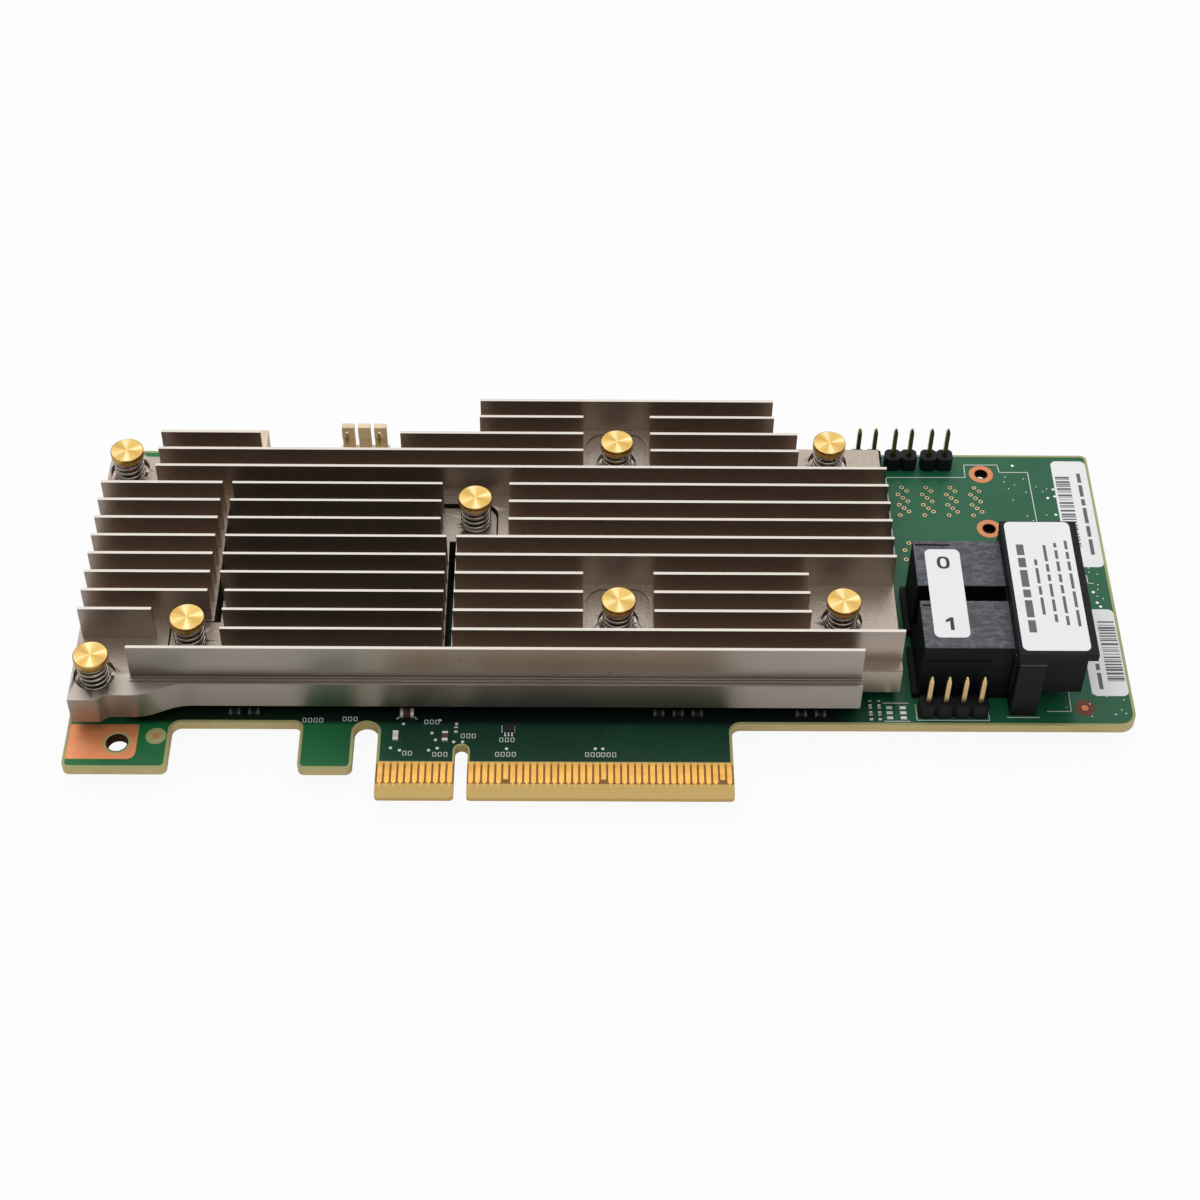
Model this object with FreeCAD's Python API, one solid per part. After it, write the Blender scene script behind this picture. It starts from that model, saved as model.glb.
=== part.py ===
# A low-profile storage controller card for a server: a green circuit board with
# a gold edge connector, a large finned heat sink held by spring-loaded push pins,
# a second finned block in a window of the first, and a twin cable receptacle.
import FreeCAD, Part
import math
import os
from FreeCAD import Vector

# Sizes are in millimetres. They are written in the board's own frame:
# x = 0 at the centre of the key notch, y = 0 at the tips of the edge connector,
# z = 0 on the component side. place() moves a finished piece to the card's frame.

# Circuit board outline
board_thickness = 1.57
board_width = 68.90
reach_left = 57.15
reach_right = 98.50
lower_edge = 13.25
tab_end = 4.85
bracket_tab_width = 14.95
second_tab_start = -23.45
slot_width = 3.50
edge_round = 1.0
corner_round = 2.4
fillet_round = 1.4
tip_round = 0.6

# Edge connector
key_width = 1.90
key_depth = 9.20
contact_pitch = 1.00
contact_width = 0.70
contact_margin = 0.65
key_margin = 0.55
contacts_before_key = 11
contacts_after_key = 38
contact_low = 2.10
contact_high = 6.10
short_contact_low = 3.00
contact_point = 0.45
short_contact_point = 0.05
short_contacts_top = (17, 31, 48)
short_contacts_bottom = (1,)
bevel_height = 1.30
bevel_depth = 0.45
copper_thickness = 0.05

# Holes
bracket_hole_inset = 7.50
bracket_hole_y = 9.35
bracket_hole_diameter = 3.18
mount_hole_inset = 17.40
mount_hole_first_setback = 4.35
mount_hole_spacing = 11.95
mount_hole_diameter = 2.20

# Main heat sink: one extrusion with fins along x, milled from above
base_gap = 2.20
base_thickness = 4.94
fin_height = 6.14
fin_top_width = 0.50
fin_foot_width = 0.80
fin_rows = 15
first_row_setback = 1.67
last_row_setback = 3.02
behind_fin = 0.50
sink_left_inset = 1.05
sink_clearance = 2.85
fin_inset = 0.70
ear_fin_inset = 8.50
front_fin_setback = 6.10
front_step_row_gap = 2.30
front_lip = 1.75
ear_reach = 4.85
ear_chamfer = 0.95
ear_corner_width = 4.20
ear_length = 10.50
ear_slope = 4.60
far_ear_reach = 4.40
far_ear_width = 5.60
far_ear_slope = 1.60
far_ear_round = 3.0
ear_slope_round = 8.0
ear_corner_round = 1.4
step_round = 0.8
step_ledge = 0.10
notch_before_lock = 15.10
notch_after_lock = 6.40
far_step_row = 3
far_block_start = 1.35
far_block_setback = 16.70
pin_step_setback = 13.30
far_plate_above_row = 2.85
groove_depth = 0.25
groove_width = 0.24
groove_setbacks = (0.48, 1.09)

# Milled pockets around the pins of the main heat sink
inner_pocket_reach = (5.20, 5.10)
pocket_recess = 0.28
pocket_rim = 0.50
pocket_round = 2.6
ear_pocket_reach = 5.18
counterbore_diameter = 6.0
counterbore_depth = 1.30
sink_hole_diameter = 3.0
relief_depth = 1.60
relief_margin = 1.60

# Centre heat sink
centre_x = -19.20
centre_half_length = 16.50
centre_row = 10
centre_row_reach = 4
ear_rows = 3
centre_border = 0.62
window_gap = 0.95
window_rim = 0.40
ear_rim = 1.75
ear_gap = 0.20
centre_pin_reach = 20.37
centre_pin_inset = 3.08
centre_ear_reach = 3.15
centre_ear_half = 3.90
centre_ear_round = 2.30
ear_cutback = 1.00

# Push pins and springs
inner_pin_x = 22.65
outer_pin_inset = 8.20
left_pin_inset = 3.30
pin_row_far = 3
pin_row_near = 12
left_pin_row_far = 3.67
left_pin_row_near = 15
head_diameter = 5.05
head_thickness = 1.25
stem_diameter = 2.20
stem_sides = 12
spring_diameter = 4.60
spring_wire = 0.45
spring_turns = 4
spring_sides = 8
spring_flat_turns = 0.5
spring_length = 4.45
board_pin_hole = 3.20
barb_diameter = 3.70
barb_length = 2.40
tip_diameter = 1.60
slit_width = 0.55
slit_depth = 3.60

# Chips under the heat sinks
controller_size = 27.0
controller_lid = 21.0
substrate_thickness = 0.75
lid_thickness = 0.85
memory_size = (8.6, 12.6)
memory_height = 1.10
memory_count = 5
memory_first_gap = 7.73
memory_last_inset = 6.80
memory_row = 7.6
flash_size = (11.0, 13.0)
flash_height = 1.20
flash_inset = 9.80
flash_row = 9.5
inductor_size = 4.2
inductor_height = 3.10
inductor_count = 3
inductor_first_x = 36.5
inductor_pitch = 5.6
inductor_row = 13.3

# Twin receptacle
receptacle_y = 28.85
port_pitch = 12.0
receptacle_setback = 31.85
rear_length = 12.90
rear_width = 9.05
rear_height = 11.40
foot_reach = 0.80
foot_height = 1.20
link_height = 3.0
hood_width = 11.40
hood_near = 15.05
hood_far = 41.30
hood_top = 13.70
hood_thickness = 1.30
leg_width = 4.25
shell_length = 10.60
shell_near = 16.95
shell_far = 40.75
shell_low = 3.20
mouth_width = 10.2
mouth_height = 7.60
mouth_depth = 4.70
mouth_floor = 0.85
module_width = 7.60
module_height = 6.60
rear_wall = 1.10
card_slot_width = 6.90
card_slot_height = 1.30
card_slot_depth = 3.20
card_slot_pitch = 3.40
blade_pitch = 0.75
blade_width = 0.32
blade_height = 0.16
blade_count = 9
blade_setback = 0.40
latch_groove = 0.30
latch_groove_length = 5.10
latch_groove_inset = 1.0
side_groove_length = 9.60
side_groove_drop = 3.20
leg_setback = 0.35

# Labels
label_thickness = 0.10
hood_label_margins = (0.55, 1.10, 0.80, 0.25)
port_label_left = 1.55
port_label_width = 5.20
port_label_ends = (1.90, 1.85)
far_label = (5.55, 23.0)
near_label = (5.45, 17.0)
label_edge = 0.45
far_label_setback = 1.40
near_label_start = 5.55

# Pin headers
header_pitch = 2.54
header_height = 2.54
cell_chamfer = 0.50
pin_width = 0.64
pin_tip = 0.80
pin_tip_share = 0.40
pin_tail = 1.40
serial_header_shift = 1.13
serial_header_row = 2.35
serial_header_pins = 4
serial_pin_length = 5.45
signal_header_inset = 2.60
signal_header_setback = 2.50
signal_header_step = 5.72
signal_header_count = 3
signal_header_pins = 2
signal_pin_length = 5.75

# Pale friction-lock header and wire connector behind the main heat sink
lock_header_shift = 2.00
lock_header_setback = 0.80
lock_header_size = (7.62, 5.70, 2.50)
lock_post_width = 1.95
lock_post_thickness = 0.85
lock_post_height = 7.20
lock_ramp_height = 5.00
lock_ramp_reach = 0.45
lock_pin_setback = 2.60
lock_pin_top = 7.70
wire_connector_gap = 0.20
wire_connector_size = (7.80, 4.40, 5.40)
wire_connector_setback = 0.60
wire_cavity = (5.60, 3.00, 3.20)
wire_pin_pitch = 2.00
wire_pin_width = 0.50
wire_pin_recess = 0.60

# Small surface-mounted parts
chip_size = (1.60, 0.80, 0.70)
front_chips_setback = 1.75
front_chips = (-33.2, -30.4, 28.6, 31.4, 34.2, 49.4, 52.2)
fuse_size = (2.20, 1.10, 0.60)
fuses = (-10.10, -2.45)
fuses_setback = 2.55
package_size = (2.9, 1.6, 1.05)
package_x = 6.75
package_y = 12.15
package_lead = (0.35, 0.55, 0.25)
package_pitch = 0.95
solder_side_columns = 5
solder_side_rows = 4
solder_side_pitch = 3.8
solder_chip_size = (1.00, 0.50, 0.50)

# Places worked out from the sizes above
board_bottom = -board_thickness
base_low = base_gap
base_top = base_low + base_thickness
fin_top = base_top + fin_height
pin_bottom = board_bottom - barb_length
section_left = -(key_width / 2 + key_margin + (contacts_before_key - 1) * contact_pitch + contact_margin)
section_right = key_width / 2 + key_margin + (contacts_after_key - 1) * contact_pitch + contact_margin
second_tab_end = section_left - slot_width
first_row_y = board_width - first_row_setback
fin_pitch = (first_row_y - lower_edge - last_row_setback) / (fin_rows - 1)
bracket_hole_x = bracket_hole_inset - reach_left
mount_hole_x = reach_right - mount_hole_inset
rear_left = reach_right - receptacle_setback
hood_left = rear_left + rear_length
sink_left = sink_left_inset - reach_left
sink_right = rear_left - sink_clearance
fin_start = sink_left + fin_inset
ear_fin_start = sink_left + ear_fin_inset
ear_end = sink_left + ear_length
front_fin_end = sink_right - front_fin_setback
far_block_end = sink_right - far_block_setback
pin_step = sink_right - pin_step_setback
outer_pin_x = sink_right - outer_pin_inset
left_pin_x = sink_left + left_pin_inset
pocket_left = inner_pin_x - inner_pocket_reach[0]
pocket_right = inner_pin_x + inner_pocket_reach[1]
flash_x = sink_left + flash_inset
memory_first_x = centre_x + centre_pin_reach + memory_first_gap
memory_pitch = (sink_right - memory_last_inset - memory_first_x) / (memory_count - 1)
serial_header_x = rear_left + serial_header_shift
signal_header_x = sink_right - signal_header_inset
lock_header_x = centre_x + lock_header_shift
notch_left = lock_header_x - notch_before_lock
notch_right = lock_header_x + notch_after_lock
wire_connector_end = notch_left - wire_connector_gap


def row_y(row):
    """Height in y of a fin row, counted from 1 at the far edge; a fraction lies between rows."""
    return first_row_y - (row - 1) * fin_pitch


front_y = row_y(fin_rows) - front_lip
ear_y = front_y - (ear_reach - front_lip)
centre_y = row_y(centre_row)
window_left = centre_x - centre_half_length - window_gap - window_rim
window_right = centre_x + centre_half_length + window_gap + window_rim
parts = {}


def place(shape):
    """Move a piece from the board's frame to the card's: plan centre of the board, lowest tip at z = 0."""
    moved = shape.copy()
    moved.translate(Vector((reach_left - reach_right) / 2, -board_width / 2, -pin_bottom))
    return moved


def keep(name, solids):
    """Store one named piece, or a group of like solids, for export."""
    if not isinstance(solids, list):
        solids = [solids]
    parts[name] = [place(solid) for solid in solids]


def box(x0, x1, y0, y1, z0, z1):
    """Box between two x, two y and two z planes."""
    return Part.makeBox(x1 - x0, y1 - y0, z1 - z0, Vector(x0, y0, z0))


def centred_box(x, y, size, z0):
    """Box of (length, width, height) centred on x and y, standing on z0."""
    length, width, height = size
    return box(x - length / 2, x + length / 2, y - width / 2, y + width / 2, z0, z0 + height)


def rod(x, y, z0, z1, diameter):
    """Upright cylinder."""
    return Part.makeCylinder(diameter / 2, z1 - z0, Vector(x, y, z0))


def fuse(solids):
    """One solid from several that touch or overlap."""
    if len(solids) == 1:
        return solids[0]
    return solids[0].multiFuse(solids[1:]).removeSplitter()


def plate(corners, z0, z1):
    """Prism whose outline goes through corners (x, y, radius), each rounded by its radius."""
    points = [Vector(x, y, z0) for x, y, radius in corners]
    count = len(points)
    edges = []
    entries = []
    exits = []
    middles = []
    for index in range(count):
        here = points[index]
        back = (points[index - 1] - here).normalize()
        ahead = (points[(index + 1) % count] - here).normalize()
        radius = corners[index][2]
        half = back.getAngle(ahead) / 2
        cut = radius / math.tan(half)
        entries.append(here + back * cut)
        exits.append(here + ahead * cut)
        middle = (back + ahead).normalize() * (radius / math.sin(half) - radius) if radius else Vector()
        middles.append(here + middle)
    for index in range(count):
        start = exits[index - 1]
        if (entries[index] - start).Length > 1e-4:
            edges.append(Part.LineSegment(start, entries[index]).toShape())
        if corners[index][2]:
            arc = Part.Arc(entries[index], middles[index], exits[index])
            edges.append(arc.toShape())
    face = Part.Face(Part.Wire(edges))
    return face.extrude(Vector(0, 0, z1 - z0))


def rounded_box(x0, x1, y0, y1, z0, z1, radius):
    """Box with its four upright edges rounded."""
    corners = [(x0, y0, radius), (x1, y0, radius), (x1, y1, radius), (x0, y1, radius)]
    return plate(corners, z0, z1)


# Where the push pins stand

def main_pins():
    """Centres of the six pins that hold the main heat sink."""
    far = row_y(pin_row_far)
    near = row_y(pin_row_near)
    return [
        (inner_pin_x, far), (outer_pin_x, far),
        (inner_pin_x, near), (outer_pin_x, near),
        (left_pin_x, row_y(left_pin_row_far)), (left_pin_x, row_y(left_pin_row_near)),
    ]


def centre_pins():
    """Centres of the two pins that hold the centre heat sink, opposite each other."""
    dx = centre_pin_reach
    dy = centre_row_reach * fin_pitch + centre_border - centre_pin_inset
    return [(centre_x + dx, centre_y + dy), (centre_x - dx, centre_y - dy)]


# Circuit board

def contact_places():
    """Pairs of contact number and x, counted from the short section across the key."""
    first = -(key_width / 2 + key_margin)
    places = []
    for index in range(contacts_before_key):
        number = contacts_before_key - index
        places.append((number, first - index * contact_pitch))
    for index in range(contacts_after_key):
        number = contacts_before_key + 1 + index
        places.append((number, key_width / 2 + key_margin + index * contact_pitch))
    return places


def serial_pin_places():
    """Centres of the four pins of the serial header."""
    return [(serial_header_x + index * header_pitch, serial_header_y) for index in range(serial_header_pins)]


def signal_pin_places():
    """Centres of the pins of the three signal headers."""
    places = []
    for header in range(signal_header_count):
        first = signal_header_x + header * signal_header_step
        places += [(first + index * header_pitch, signal_header_y) for index in range(signal_header_pins)]
    return places


def header_pin_places():
    """Centres and widths of all header pins that go through the board."""
    places = [(x, y, pin_width) for x, y in serial_pin_places() + signal_pin_places() + lock_pin_places()]
    places += [(x, y, wire_pin_width) for x, y in wire_pin_places()]
    return places


def lock_pin_places():
    """The friction-lock header has pins in its outer positions only."""
    y = board_width - lock_header_setback - lock_pin_setback
    return [(lock_header_x - header_pitch, y), (lock_header_x + header_pitch, y)]


def wire_pin_places():
    """Two pins of the pale wire connector."""
    x = wire_connector_end - wire_connector_size[0] / 2
    y = board_width - wire_connector_setback - wire_connector_size[1] / 2
    return [(x - wire_pin_pitch / 2, y), (x + wire_pin_pitch / 2, y)]


serial_header_y = lower_edge + serial_header_row
signal_header_y = board_width - signal_header_setback
mount_holes = [
    (mount_hole_x, board_width - mount_hole_first_setback),
    (mount_hole_x, board_width - mount_hole_first_setback - mount_hole_spacing),
]


def circuit_board():
    """Board with tabs, slot, key notch, bevelled connector edge and every drilled hole."""
    key = key_width / 2
    tab_right = bracket_tab_width - reach_left
    corners = [
        (-reach_left, tab_end, edge_round),
        (tab_right, tab_end, edge_round),
        (tab_right, lower_edge, fillet_round),
        (second_tab_start, lower_edge, edge_round),
        (second_tab_start, tab_end, edge_round),
        (second_tab_end, tab_end, edge_round),
        (second_tab_end, lower_edge, slot_width / 2),
        (section_left, lower_edge, slot_width / 2),
        (section_left, 0, tip_round),
        (-key, 0, tip_round),
        (-key, key_depth, key),
        (key, key_depth, key),
        (key, 0, tip_round),
        (section_right, 0, tip_round),
        (section_right, lower_edge, fillet_round),
        (reach_right, lower_edge, corner_round),
        (reach_right, board_width, edge_round),
        (-reach_left, board_width, edge_round),
    ]
    board = plate(corners, board_bottom, 0)
    holes = [rod(x, y, board_bottom, 0, board_pin_hole) for x, y in main_pins() + centre_pins()]
    holes += [centred_box(x, y, (width, width, board_thickness), board_bottom)
              for x, y, width in header_pin_places()]
    holes += [rod(x, y, board_bottom, 0, mount_hole_diameter) for x, y in mount_holes]
    holes.append(rod(bracket_hole_x, bracket_hole_y, board_bottom, 0, bracket_hole_diameter))
    for side in (1, -1):
        holes.append(bevel_cutter(side))
    return board.cut(Part.Compound(holes))


def bevel_cutter(side):
    """Wedge that bevels the connector's edge on the component (1) or solder (-1) side."""
    level = 0 if side == 1 else board_bottom
    points = [
        Vector(section_left, 0, level),
        Vector(section_left, bevel_height, level),
        Vector(section_left, 0, level - side * bevel_depth),
    ]
    wedge = Part.Face(Part.makePolygon(points + points[:1]))
    return wedge.extrude(Vector(section_right - section_left, 0, 0))


def contact(x, low, point, level):
    """One gold contact, with the pointed stub of its plating bar at the lower end."""
    half = contact_width / 2
    corners = [
        (x - half, contact_high, 0), (x - half, low + point, 0), (x, low, 0),
        (x + half, low + point, 0), (x + half, contact_high, 0),
    ]
    return plate(corners, level, level + copper_thickness)


def contact_row(short, level):
    """All contacts of one side of the board; the ones named as short stop higher up and blunt."""
    row = []
    for number, x in contact_places():
        if number in short:
            row.append(contact(x, short_contact_low, short_contact_point, level))
        else:
            row.append(contact(x, contact_low, contact_point, level))
    return row


# Heat sinks

def fin(x0, x1, row):
    """One straight fin between two x planes, thinner at its top than at its foot."""
    y = row_y(row)
    foot = fin_foot_width / 2
    tip = fin_top_width / 2
    low = base_top - groove_depth
    points = [
        Vector(x0, y - foot, low), Vector(x0, y + foot, low),
        Vector(x0, y + tip, fin_top), Vector(x0, y - tip, fin_top),
    ]
    section = Part.Face(Part.makePolygon(points + points[:1]))
    return section.extrude(Vector(x1 - x0, 0, 0))


def centre_outline(gap, lobe_gap):
    """Outline of the centre heat sink with its two ears, grown by a gap on the sides and ears."""
    left = centre_x - centre_half_length - gap
    right = centre_x + centre_half_length + gap
    reach = centre_row_reach * fin_pitch + centre_border + gap
    far = centre_y + reach
    near = centre_y - reach
    (far_x, far_y), (near_x, near_y) = centre_pins()
    lobe = centre_ear_reach + lobe_gap
    half = centre_ear_half + lobe_gap
    round_out = centre_ear_round + lobe_gap
    return [
        (near_x - lobe, near, round_out), (right, near, 0),
        (right, far_y - half, 0), (far_x + lobe, far_y - half, 0),
        (far_x + lobe, far, round_out), (left, far, 0),
        (left, near_y + half, 0), (near_x - lobe, near_y + half, 0),
    ]


def main_outline():
    """Outline of the main heat sink's base, stepped where fin rows begin and end."""
    tail = fin_foot_width / 2
    front_step = row_y(fin_rows - 1) - front_step_row_gap
    far_block = row_y(1) + behind_fin
    far_row = row_y(far_step_row) + behind_fin
    mid_row = row_y(far_step_row + 1) + behind_fin
    ear_far = row_y(left_pin_row_far) + far_ear_reach
    plate_far = row_y(pin_row_far) + far_plate_above_row
    return [
        (sink_left, ear_y, 0),
        (sink_left + ear_corner_width, ear_y, ear_corner_round),
        (sink_left + ear_corner_width + ear_chamfer, ear_y + ear_chamfer, ear_corner_round),
        (ear_end, ear_y + ear_chamfer, ear_slope_round),
        (ear_end + ear_slope, front_y, ear_slope_round),
        (front_fin_end + step_ledge, front_y, 0),
        (front_fin_end + step_ledge, front_step, 0),
        (sink_right, front_step, 0),
        (sink_right, plate_far, 0),
        (far_block_end + tail, plate_far, step_round),
        (far_block_end + tail, far_block, 0),
        (far_block_start, far_block, 0),
        (far_block_start, far_row, 0),
        (notch_right, far_row, 0),
        (notch_right, mid_row, step_round),
        (notch_left, mid_row, step_round),
        (notch_left, far_row, 0),
        (sink_left + far_ear_width, far_row, step_round),
        (sink_left + far_ear_width - far_ear_slope, ear_far, step_round),
        (sink_left, ear_far, far_ear_round),
    ]


def beside_pins(row):
    """Whether a row of fins stops short for the push pins."""
    return min(abs(row - pin_row_far), abs(row - pin_row_near)) <= 1


def row_ends(row):
    """Where a row of fins starts and ends, before anything interrupts it."""
    if row < far_step_row:
        return far_block_start, far_block_end
    if row == fin_rows:
        return ear_fin_start, front_fin_end
    if row == fin_rows - 1:
        return window_right, sink_right
    left = fin_start if in_window(row) else ear_fin_start
    right = pin_step if beside_pins(row) else sink_right - step_ledge
    return left, right


def in_window(row):
    """Whether a row of the main heat sink meets the window of the centre one."""
    return abs(row - centre_row) <= centre_row_reach


def row_gaps(row):
    """Stretches of a row without a fin: the notch, the window and the pockets of the inner pins."""
    gaps = []
    if row == far_step_row:
        gaps.append((notch_left, notch_right))
    if in_window(row):
        far_x, near_x = centre_pins()[0][0], centre_pins()[1][0]
        beside_ear = row < centre_row - centre_row_reach + ear_rows
        before_ear = row > pin_row_near
        left = near_x - ear_pocket_reach if before_ear else window_left
        right = far_x + centre_ear_reach + ear_gap + ear_rim if beside_ear else window_right
        gaps.append((left, right))
    if beside_pins(row):
        gaps.append((pocket_left, pocket_right))
    return gaps


def main_fins():
    """All fins of the main heat sink, each row cut into the stretches between its gaps."""
    fins = []
    for row in range(1, fin_rows + 1):
        start, end = row_ends(row)
        for gap_left, gap_right in row_gaps(row):
            if gap_left > start:
                fins.append(fin(start, gap_left, row))
            start = max(start, gap_right)
        fins.append(fin(start, end, row))
    return fins


def pin_pocket(row):
    """Shallow round-cornered recess milled in the base around an inner pin."""
    reach = 2 * fin_pitch - fin_foot_width
    y = row_y(row)
    return rounded_box(pocket_left + pocket_rim, pocket_right - pocket_rim, y - reach + pocket_rim,
                       y + reach - pocket_rim, base_top - pocket_recess, base_top, pocket_round)


def main_heat_sink():
    """Base plate with window, pockets, counterbores and underside relief, and all its fins."""
    base = plate(main_outline(), base_low, base_top)
    cuts = [plate(centre_outline(window_gap, ear_gap), base_low, base_top)]
    cuts += [pin_pocket(row) for row in (pin_row_far, pin_row_near)]
    for x, y in main_pins():
        cuts.append(rod(x, y, base_low, base_top, sink_hole_diameter))
        cuts.append(rod(x, y, base_top - counterbore_depth, base_top, counterbore_diameter))
    for setback in groove_setbacks:
        near = front_y + setback - groove_width / 2
        cuts.append(box(ear_fin_start, front_fin_end + step_ledge, near, near + groove_width,
                        base_top - groove_depth, base_top))
    first_x, inductor_y = inductor_places()[0]
    reach = inductor_size / 2 + relief_margin
    cuts.append(box(first_x - reach, inductor_places()[-1][0] + reach, inductor_y - reach,
                    inductor_y + reach, base_low, base_low + relief_depth))
    return fuse([base.cut(Part.Compound(cuts))] + main_fins())


def centre_heat_sink():
    """Finned block of the controller chip, with an ear for each of its two pins."""
    base = plate(centre_outline(0, 0), base_low, base_top)
    holes = [rod(x, y, base_low, base_top, sink_hole_diameter) for x, y in centre_pins()]
    left = centre_x - centre_half_length + step_ledge
    right = centre_x + centre_half_length - step_ledge
    fins = []
    for row in range(centre_row - centre_row_reach, centre_row + centre_row_reach + 1):
        far_ear = row < centre_row - centre_row_reach + ear_rows
        near_ear = row > centre_row + centre_row_reach - ear_rows
        x0 = left + (ear_cutback if near_ear else 0)
        x1 = right - (ear_cutback if far_ear else 0)
        fins.append(fin(x0, x1, row))
    return fuse([base.cut(Part.Compound(holes))] + fins)


# Push pins and springs

def push_pin(x, y, spring_foot):
    """Brass pin: disc head, stem, and a slit barb that grips under the board."""
    seat = spring_foot + spring_length
    outline = [
        (tip_diameter, pin_bottom), (barb_diameter, board_bottom),
        (stem_diameter, board_bottom), (stem_diameter, seat),
    ]
    stem = banded_solid([ring_of_points(x, y, level, diameter) for diameter, level in outline])
    slit = box(x - slit_width / 2, x + slit_width / 2, y - barb_diameter / 2, y + barb_diameter / 2,
               pin_bottom, pin_bottom + slit_depth)
    return fuse([stem.cut(slit), rod(x, y, seat, seat + head_thickness, head_diameter)])


def ring_of_points(x, y, z, diameter):
    """Corners of a level regular polygon, used for the stems of the pins."""
    ring = []
    for index in range(stem_sides):
        angle = 2 * math.pi * (index + 0.5) / stem_sides
        ring.append(Vector(x + diameter / 2 * math.cos(angle), y + diameter / 2 * math.sin(angle), z))
    return ring


def banded_solid(rings):
    """Solid whose skin joins a chain of like rings of points, closed by its two end rings."""
    faces = [Part.Face(Part.makePolygon(ring + ring[:1])) for ring in (rings[0], rings[-1])]
    for low, high in zip(rings, rings[1:]):
        for index in range(len(low)):
            after = (index + 1) % len(low)
            faces.append(Part.Face(Part.makePolygon([low[index], low[after], high[index], low[index]])))
            faces.append(Part.Face(Part.makePolygon([low[after], high[after], high[index], low[after]])))
    solid = Part.makeSolid(Part.makeShell(faces))
    if solid.Volume < 0:
        solid.reverse()
    return solid


def spring(x, y, foot):
    """Compression spring whose wire lies flat at both ends and climbs evenly between them."""
    half = spring_wire / 2
    middle = (spring_diameter - spring_wire) / 2
    climb = spring_turns - 2 * spring_flat_turns
    rings = []
    for step in range(spring_turns * spring_sides + 1):
        turn = step / spring_sides
        share = min(max((turn - spring_flat_turns) / climb, 0), 1)
        low = foot + share * (spring_length - spring_wire)
        outward = Vector(math.cos(2 * math.pi * turn), math.sin(2 * math.pi * turn), 0)
        axis = Vector(x, y, low)
        rings.append([
            axis + outward * (middle - half), axis + outward * (middle + half),
            axis + outward * (middle + half) + Vector(0, 0, spring_wire),
            axis + outward * (middle - half) + Vector(0, 0, spring_wire),
        ])
    return banded_solid(rings)


def fasteners():
    """Eight numbered push pins with their springs."""
    places = [(x, y, base_top - counterbore_depth) for x, y in main_pins()]
    places += [(x, y, base_top) for x, y in centre_pins()]
    for number, (x, y, foot) in enumerate(places, 1):
        keep("push_pin_%d" % number, push_pin(x, y, foot))
        keep("pin_spring_%d" % number, spring(x, y, foot))


# Chips and pads

def controller_chip():
    """Controller: square substrate with a metal lid."""
    size = (controller_size, controller_size, substrate_thickness)
    lid = (controller_lid, controller_lid, lid_thickness)
    substrate = centred_box(centre_x, centre_y, size, 0)
    return fuse([substrate, centred_box(centre_x, centre_y, lid, substrate_thickness)])


def controller_pad():
    """Thermal pad between the controller's lid and the centre heat sink."""
    top = substrate_thickness + lid_thickness
    size = (controller_lid, controller_lid, base_low - top)
    return centred_box(centre_x, centre_y, size, top)


def memory_places():
    """Centres of the memory chips, in one row under the main heat sink."""
    return [(memory_first_x + index * memory_pitch, row_y(memory_row)) for index in range(memory_count)]


def memory_pads():
    """Thermal pads on the memory chips and the flash chip, up to the main heat sink."""
    length, width = memory_size
    pads = [centred_box(x, y, (length, width, base_low - memory_height), memory_height)
            for x, y in memory_places()]
    length, width = flash_size
    pads.append(centred_box(flash_x, row_y(flash_row), (length, width, base_low - flash_height),
                            flash_height))
    return pads


def inductor_places():
    """Centres of the power inductors, in a row under the main heat sink."""
    y = row_y(inductor_row)
    return [(inductor_first_x + index * inductor_pitch, y) for index in range(inductor_count)]


def power_inductors():
    """Moulded inductors, which stand in the relief of the main heat sink."""
    size = (inductor_size, inductor_size, inductor_height)
    return [centred_box(x, y, size, 0) for x, y in inductor_places()]


# Twin receptacle

def port_centres():
    """Centre lines of the two ports."""
    return [receptacle_y + port_pitch / 2, receptacle_y - port_pitch / 2]


shell_right = hood_left + shell_length
mouth_low = shell_low + mouth_floor
module_low = mouth_low
module_right = shell_right - mouth_depth


def receptacle_housing():
    """Two rear bodies joined by a link, a front shell with two mouths, a hood and two legs."""
    hood_low = hood_top - hood_thickness
    half = rear_width / 2
    inside = hood_left + leg_width / 2
    groove_left = rear_left + latch_groove
    solids = [
        box(hood_left, hood_left + hood_width, hood_near, hood_far, hood_low, hood_top),
        box(hood_left, shell_right, shell_near, shell_far, shell_low, hood_low),
        box(hood_left + leg_setback, hood_left + leg_width, hood_near, hood_far, 0, hood_low),
        box(rear_left, inside, receptacle_y - port_pitch / 2, receptacle_y + port_pitch / 2, 0, link_height),
    ]
    for y in port_centres():
        solids.append(box(rear_left, inside, y - half, y + half, 0, rear_height))
        solids.append(box(rear_left - foot_reach, rear_left, y - half, y + half, 0, foot_height))
    cuts = []
    for y in port_centres():
        cuts.append(box(module_right, shell_right, y - mouth_width / 2, y + mouth_width / 2,
                        mouth_low, mouth_low + mouth_height))
        cuts.append(box(rear_left + rear_wall, module_right, y - module_width / 2, y + module_width / 2,
                        module_low, module_low + module_height))
        groove_y = y + half - latch_groove_inset
        cuts.append(box(groove_left, groove_left + latch_groove_length, groove_y, groove_y + latch_groove,
                        rear_height - latch_groove, rear_height))
    near = receptacle_y - port_pitch / 2 - half
    side_low = rear_height - side_groove_drop
    cuts.append(box(groove_left, groove_left + side_groove_length, near, near + latch_groove,
                    side_low, side_low + latch_groove))
    return fuse(solids).cut(Part.Compound(cuts))


def contact_module(y):
    """Black block at the back of a port, with two slots for the plug's boards."""
    block = box(rear_left + rear_wall, module_right, y - module_width / 2, y + module_width / 2,
                module_low, module_low + module_height)
    slots = [slot_box(y, level) for level in slot_levels()]
    return block.cut(Part.Compound(slots))


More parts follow.
